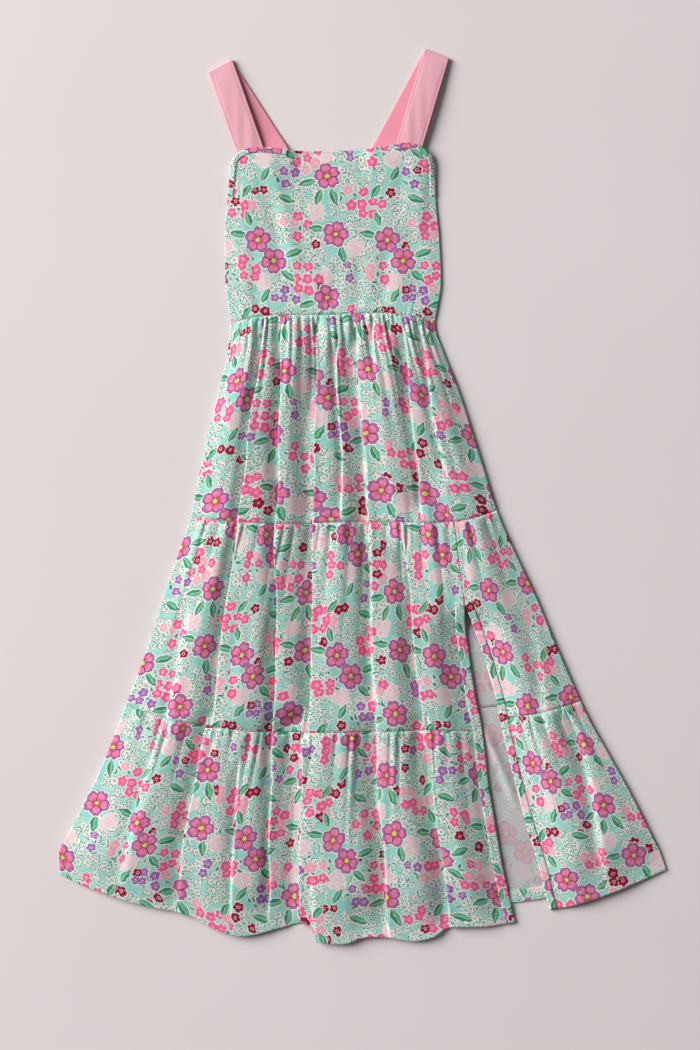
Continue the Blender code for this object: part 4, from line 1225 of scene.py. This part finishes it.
def back_panel(name, place, gathers, order, width, offset):
    columns = max(int(width / BACK_STEP), gathers * COLUMNS_TO_A_GATHER)
    u = np.linspace(0.0, 1.0, columns)
    height = panel_height(place, u)
    last = BACK_ROWS_FROM_TOP[-1]
    far = np.linspace(last, height, max(int((height - last) / BACK_ROW_STEP), 4) + 1)[1:]
    spots = place(u, np.concatenate([BACK_ROWS_FROM_TOP, far]) / height)
    across, down = spots[..., 0], spots[..., 1]
    below = np.linalg.norm(spots - spots[:1], axis=2)
    level = BACK_TOP_LEVEL + back_level(across, down)
    from_side = np.minimum(across - outline_left(down), outline_right(down) - across)
    inside = smooth_step((from_side - 6.0) / 14.0)
    if gathers:
        turns = gather_turns(u, gathers, 0.9 + order)[None]
        puff = np.abs(np.cos(math.pi * turns)) * gather_strengths(turns, order)
        puff = puff * smooth_step(below / 5.0) * np.exp(-below / 55.0)
        level = level + BACK_GATHER_HEIGHT * puff * inside
    level = mix(BACK_TOP_LEVEL, level, inside)
    cloth = print_place(width * u[None] + 0 * across, below, offset)
    outer = to_row(across, down, level)
    faces = [INSIDE, PRINT]
    piece = shell(name, outer, CLOTH_WALL, cloth, faces, HALF_THE_MAP)
    declare_sheet(["floor"], width, height)


# How far the back lies inside the front's outline, and how far short of its seams it ends
BACK_INSET = 0.8
BACK_SEAM_SHIFT = -0.2
# Places of the turn-up's rows from the hem upwards, and their rise off the back
TURN_UP_STEPS = np.array([-0.5, -0.3, 0.3, 3.0, 6.0, 9.0, 12.2, 13.2])
TURN_UP_LIFTS = np.array([0.3, 0.8, 1.0, 1.0, 1.0, 1.0, 0.9, 0.65])


def hem_turn_up():
    """The back's hem turned up to its inside, built where the slit shows it."""
    across = np.linspace(172.0, 240.0, 60)
    down = back_hem(across)[None] - TURN_UP_STEPS[::-1, None]
    level = BACK_TOP_LEVEL + TURN_UP_LIFTS[::-1, None] + back_level(across[None], down)
    cloth = print_place(across[None] + 0 * down, down, (55, 33))
    outer = to_row(np.broadcast_to(across, down.shape), down, level)
    piece = shell("back_hem_turn_up", outer, TRIM_WALL, cloth, [PRINT])
    declare_sheet(["tier_3_back_cloth"], 68.0, 14.0)


def build_back():
    neck = path_by_length(BACK_NECKLINE)
    back_waist = smooth_curve(BACK_WAIST)
    back_upper = smooth_curve(BACK_UPPER_SEAM)
    back_lower = smooth_curve(BACK_LOWER_SEAM)

    def left_side(down):
        return outline_left(down) + BACK_INSET

    def right_side(down):
        return outline_right(down) - BACK_INSET

    bodice = panel_patch(neck, back_waist, left_side, right_side, BACK_SEAM_SHIFT)
    back_panel("bodice_back", bodice, 0, 0, 224.0, (30, 20))
    # name, top seam, bottom seam, gathers, width, shift past the bottom seam, place on the print
    rows = (
        ("tier_1_back", back_waist, back_upper, 20, 322.0, BACK_SEAM_SHIFT, (70, 5)),
        ("tier_2_back", back_upper, back_lower, 18, 486.0, BACK_SEAM_SHIFT, (15, 50)),
        ("tier_3_back", back_lower, back_hem, 22, 638.0, 0.0, (92, 18)),
    )
    for order, (name, top, low, gathers, width, shift, offset) in enumerate(rows):
        top_edge = edge_along_seam(top, left_side, right_side, 0.0)
        place = panel_patch(top_edge, low, left_side, right_side, shift)
        back_panel(name, place, gathers, order, width, offset)
    hem_turn_up()


TRIM_STEP = 1.6
TRIM_ROLL = 1.5
TAIL_LENGTH = 18.0
TAIL_HEIGHT = 0.25


def trim_strip(name, path, side, width, offset, rests_on, tail=None):
    """A strip turned over an edge: its rolled edge, its flat run and its pressed inner edge.
    side is where the strip lies, and it thins towards the path's end that tail names, 0 or 1."""
    t = np.linspace(0.0, 1.0, int(path.length / TRIM_STEP) + 1)
    spots = path(t)
    run = np.gradient(spots, axis=0)
    run = run / np.linalg.norm(run, axis=1, keepdims=True)
    way = np.stack([-run[:, 1], run[:, 0]], 1) * side
    # In from the edge, up from the cloth
    section = (
        (-0.25, -0.95), (-0.55, -0.45), (-0.5, 0.05), (-0.1, 0.5), (0.6, 0.75),
        (0.30 * width, 0.72), (0.62 * width, 0.70), (width - 0.9, 0.72), (width - 0.2, 0.45),
        (width, 0.05),
    )
    height = 1.0
    if tail is not None:
        from_tail = np.abs(t - tail) * path.length
        height = mix(TAIL_HEIGHT, 1.0, smooth_step(from_tail / TAIL_LENGTH))
    columns = []
    for out, lift in section:
        across, down = (spots + way * out).T
        held = spots + way * max(out, 0.0)
        wrinkle = 0.12 * uneven(t * path.length / 5.0, 31) if 0 < out < width - 0.5 else 0.0
        level = front_level(held[:, 0], held[:, 1]) + (lift + wrinkle) * height
        cloth = print_place(out + 0 * t, t * path.length, offset)
        columns.append(np.column_stack([across, down, level, cloth]))
    grid = np.stack(columns[::-1] if side < 0 else columns, 1)
    outer = to_row(grid[..., 0], grid[..., 1], grid[..., 2])
    piece = shell(name, outer, TRIM_WALL, grid[..., 3:], [PRINT])
    declare_sheet(rests_on, width + TRIM_ROLL, path.length)


def build_bands():
    def slit_edge(side, hem):
        downs = np.linspace(SLIT_TOP + 3.0, hem - 0.5, 60)
        return path_by_length([(float(side(d)), float(d)) for d in downs])

    left_edge = slit_edge(slit_left, float(hem_main(194.0)))
    right_edge = slit_edge(slit_right, float(hem_side(234.0)))
    main_side = ["tier_2_front_main_cloth", "tier_3_front_main_cloth"]
    side_side = ["tier_2_front_side_cloth", "tier_3_front_side_cloth"]
    trim_strip("slit_band_left", left_edge, 1, 9.0, (12, 77), main_side)
    trim_strip("slit_band_right", right_edge, -1, 7.0, (90, 31), side_side)

    left_corner = tuple((float(outline_left(d)), d) for d in (48.0, 30.0))
    right_corner = tuple((float(outline_right(d)), d) for d in (30.0, 48.0))
    left_path = path_by_length(left_corner + NECKLINE[:6])
    right_path = path_by_length(NECKLINE[9:] + right_corner)
    bodice = ["bodice_front_cloth"]
    trim_strip("armhole_binding_left", left_path, 1, 4.8, (36, 90), bodice, 0.0)
    trim_strip("armhole_binding_right", right_path, 1, 4.8, (118, 8), bodice, 1.0)


# side, fold's outer and inner corner, end on the front, end on the back
STRAPS = (
    ("left", (-132.4, -82.6), (-107.0, -96.4), (-88.2, -1.0), (-63.2, -1.0)),
    ("right", (123.6, -97.4), (97.6, -107.4), (81.8, -6.0), (58.6, -6.0)),
)
STRAP_COLUMNS = 25
STRAP_FRONT_ROWS = 64
STRAP_FOLD_ROWS = 14
STRAP_BACK_ROWS = 60
STRAP_REST_LEVEL = 0.75
STRAP_FRONT_LEVEL = 5.9
STRAP_BACK_LEVEL = 2.5
STRAP_BACK_RISE = 26.0
STRAP_BOW = 1.5
# The topstitching's share of the width in from each edge, and its grid columns
STRAP_SEAM = 0.085
STRAP_SEAM_WIDTH = 0.03
STRAP_SEAM_COLUMNS = (2.05, 21.95)


def strap(side, outer_corner, inner_corner, front_end, back_end):
    """One ribbon: up the front, folded over at the shoulder line and down behind the bodice."""
    outer, inner = np.array(outer_corner), np.array(inner_corner)
    middle = (outer + inner) / 2
    front_way = unit(np.array(front_end) - middle)
    back_way = unit(np.array(back_end) - middle)
    line = unit(inner - outer)
    away = np.array((line[1], -line[0]))
    if away @ front_way > 0:
        away = -away
    shares = np.linspace(0.0, 1.0, STRAP_COLUMNS)
    starts = outer + (inner - outer) * shares[:, None]
    front_length = (front_end[1] + STRAP_UNDERLAP - starts[:, 1]) / front_way[1]
    back_length = (back_end[1] + STRAP_UNDERLAP + 6.0 - starts[:, 1]) / back_way[1]
    crown = np.sin(math.pi * shares) ** 0.7
    seams = hump(shares - STRAP_SEAM, STRAP_SEAM_WIDTH)
    seams = seams + hump(1 - shares - STRAP_SEAM, STRAP_SEAM_WIDTH)
    body = 0.55 * crown - 0.4 * seams

    rows = []
    fold_top = STRAP_REST_LEVEL + 2 * STRAP_FOLD_RADIUS
    for share in np.linspace(1.0, 0.0, STRAP_FRONT_ROWS):
        at = starts + front_way * front_length[:, None] * share
        bow = STRAP_BOW * math.sin(math.pi * min(share * 1.15, 1.0))
        soft = 0.45 * uneven(shares * 7.0 + share * 9.0, 41) * smooth_step(share * 1.4) * crown
        level = mix(fold_top, STRAP_FRONT_LEVEL, smooth_step(share)) + bow + soft
        rows.append((at, level + body * min(1.0, 8 * share)))
    for k in range(1, STRAP_FOLD_ROWS):
        angle = math.pi * k / STRAP_FOLD_ROWS
        at = starts + away * STRAP_FOLD_RADIUS * math.sin(angle)
        level = STRAP_REST_LEVEL + STRAP_FOLD_RADIUS * (1 + math.cos(angle))
        rows.append((at, level + 0 * shares))
    for share in np.linspace(0.0, 1.0, STRAP_BACK_ROWS):
        at = starts + back_way * back_length[:, None] * share
        to_neck = (1.0 - at[:, 1]) / back_way[1]
        rise = 1.0 - smooth_step(to_neck / STRAP_BACK_RISE)
        bow = 0.4 * math.sin(math.pi * share) * crown
        rows.append((at, mix(STRAP_REST_LEVEL, STRAP_BACK_LEVEL, rise) + bow))

    spots = np.stack([at for at, _ in rows])
    points = to_row(spots[..., 0], spots[..., 1], np.stack([level for _, level in rows]))
    if side == "left":
        points = points[:, ::-1]
    points = points + grid_normals(points) * 0.5 * STRAP_WALL * MM
    steps = np.linalg.norm(np.diff(points[:, STRAP_COLUMNS // 2], axis=0), axis=1)
    lengths = np.concatenate([[0.0], np.cumsum(steps)])
    width = float(np.linalg.norm(inner - outer))
    cloth = np.stack(np.broadcast_arrays(shares * width * MM, lengths[:, None]), -1)
    # The back runs show the inner face, whose deeper pink is painted shade.
    faces = [PINK, PINK_INSIDE_PAINTED_SHADE]
    piece = shell("strap_" + side, points, STRAP_WALL, cloth, faces, HALF_THE_MAP)
    declare_sheet(["bodice_back_cloth"], width, float(lengths[-1]) / MM)


def sampled(name, rows, columns):
    """Points and normals of a piece's grid at fractional rows and columns."""
    outer = grids[name]
    rows, columns = np.broadcast_arrays(rows, columns)
    r = np.clip(rows, 0, outer.shape[0] - 1.001)
    c = np.clip(columns, 0, outer.shape[1] - 1.001)
    i, j = r.astype(int), c.astype(int)
    fr, fc = (r - i)[:, None], (c - j)[:, None]
    result = []
    for grid in (outer, grid_normals(outer)):
        top = grid[i, j] * (1 - fc) + grid[i, j + 1] * fc
        low = grid[i + 1, j] * (1 - fc) + grid[i + 1, j + 1] * fc
        result.append(top * (1 - fr) + low * fr)
    return result


# A stitch, in millimetres: from one to the next, and its own length, width and height
PITCH = 2.7
STITCH_LENGTH = 1.9
STITCH_WIDTH = 0.5
STITCH_HEIGHT = 0.28
# Along a stitch: share of its length, of its width and of its height
STITCH_SECTIONS = ((0.0, 0.25, -0.1), (0.25, 1.0, 1.0), (0.75, 1.0, 1.0), (1.0, 0.25, -0.1))
STITCH_SINK = 0.3
SHORTEST_STITCH = 0.2


def stitch_mesh(name, lines, material):
    """Short raised dashes of thread along lines on the cloth."""
    points, faces = [], []
    shares, widths, heights = np.array(STITCH_SECTIONS).T
    for spots, normals in lines:
        steps = np.linalg.norm(np.diff(spots, axis=0), axis=1)
        at = np.concatenate([[0.0], np.cumsum(steps)]) / MM
        for start in np.arange(PITCH, at[-1] - PITCH, PITCH):
            stations = start + STITCH_LENGTH * shares
            centre = np.stack([np.interp(stations, at, spots[:, k]) for k in range(3)], 1)
            normal = np.stack([np.interp(stations, at, normals[:, k]) for k in range(3)], 1)
            way = centre[-1] - centre[0]
            size = np.linalg.norm(way)
            if size < SHORTEST_STITCH * STITCH_LENGTH * MM:
                continue
            first = len(points)
            for middle, out, wide, high in zip(centre, normal, widths, heights):
                half = np.cross(out, way / size) * 0.5 * STITCH_WIDTH * wide * MM
                up = out * STITCH_HEIGHT * MM
                points += [
                    middle - half - up * STITCH_SINK, middle + half - up * STITCH_SINK,
                    middle + up * high,
                ]
            for a in range(first, first + 9, 3):
                b = a + 3
                faces += [(a, b, b + 2, a + 2), (a + 2, b + 2, b + 1, a + 1), (a + 1, b + 1, b, a)]
            last = first + 9
            faces += [(first, first + 2, first + 1), (last, last + 1, last + 2)]
    mesh = bpy.data.meshes.new(name)
    mesh.from_pydata([tuple(p) for p in points], [], faces)
    mesh.materials.append(material)
    mesh.update()
    piece = new_object(name, mesh)
    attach(piece, "root")


def build_stitches():
    def across_panel(name, share, inset, shift):
        """A line at a share of a panel's height, in from both sides by grid columns."""
        v = panel_rows[name][0]
        row = np.interp(share, v, np.arange(len(v))) + shift
        return sampled(name, row, np.arange(inset, grids[name].shape[1] - max(inset, 1), 0.5))

    def along_strip(name, column):
        return sampled(name, np.arange(0.5, grids[name].shape[0] - 1, 0.5), column)

    neck_share = NECK_STITCHES / panel_rows["bodice_front"][1]
    neck = across_panel("bodice_front", neck_share, 30.0, len(NECK_TURN))
    hems = []
    for name in ("tier_3_front_main", "tier_3_front_side"):
        hems.append(across_panel(name, 1.0 - HEM_STITCHES / panel_rows[name][1], 0.5, 0))
    bands = [along_strip("slit_band_left", 7.2), along_strip("slit_band_right", 1.8)]
    bands += [along_strip("armhole_binding_" + side, 7.0) for side in ("left", "right")]
    turn_up_columns = grids["back_hem_turn_up"].shape[1]
    bands.append(sampled("back_hem_turn_up", 1.3, np.arange(0.5, turn_up_columns - 1, 0.5)))
    stitch_mesh("neckline_stitches", [neck], PRINT_THREAD)
    stitch_mesh("hem_stitches", hems, PRINT_THREAD)
    stitch_mesh("band_stitches", bands, PRINT_THREAD)
    for side in ("left", "right"):
        lines = [along_strip("strap_" + side, column) for column in STRAP_SEAM_COLUMNS]
        stitch_mesh("strap_stitches_" + side, lines, PINK_THREAD)


FLOOR_HALF = 3.0
FLOOR_LEVEL = -0.0003


def build_stage():
    mesh = bpy.data.meshes.new("floor")
    corners = ((-1, -1), (1, -1), (1, 1), (-1, 1))
    places = [(x * FLOOR_HALF, y * FLOOR_HALF, FLOOR_LEVEL) for x, y in corners]
    mesh.from_pydata(places, [], [(0, 1, 2, 3)])
    floor = new_object("floor", mesh)
    material, net, inputs = new_material("paper", 0.95)
    grain = net.noise(net.own_place(), 3.0, 4.0)[0]
    colour = net.paint(grain, srgb(221, 213, 213), srgb(226, 219, 219))
    net.feed(inputs["Base Color"], colour)
    mesh.materials.append(material)


# The key light, the room's light and the camera, in the row frame's metres
KEY_PLACE = (-6.38, 2.90, 4.42)
KEY_TARGET = (0.0, -0.1, 0.0)
KEY_SIZE = 6.3
KEY_ENERGY = 1150.0
KEY_COLOUR = (1.0, 0.985, 0.978)
ROOM_COLOUR = (0.98, 0.98, 1.0, 1.0)
ROOM_STRENGTH = 0.15
CAMERA_PLACE = (-0.0138, -0.0308, 2.65)
CAMERA_LENS = 85.0
SENSOR_HEIGHT = 36.0


def build_light():
    light = bpy.data.lights.new("key", "AREA")
    light.shape = "DISK"
    light.size = KEY_SIZE
    light.energy = KEY_ENERGY
    light.color = KEY_COLOUR
    lamp = new_object("key", light)
    lamp.location = KEY_PLACE
    way = Vector(KEY_TARGET) - lamp.location
    lamp.rotation_euler = way.to_track_quat("-Z", "Y").to_euler()
    world = bpy.data.worlds.new("studio")
    world.use_nodes = True
    background = world.node_tree.nodes["Background"]
    background.inputs["Color"].default_value = ROOM_COLOUR
    background.inputs["Strength"].default_value = ROOM_STRENGTH
    bpy.context.scene.world = world
    bpy.context.scene.view_settings.view_transform = "Standard"


def build_camera():
    camera = bpy.data.cameras.new("photo")
    camera.lens = CAMERA_LENS
    camera.sensor_fit = "VERTICAL"
    camera.sensor_height = SENSOR_HEIGHT
    thing = new_object("photo", camera)
    thing.location = CAMERA_PLACE
    bpy.context.scene.camera = thing


build_back()
build_front()
build_bands()
for row in STRAPS:
    strap(*row)
build_stitches()
build_stage()
build_light()
build_camera()
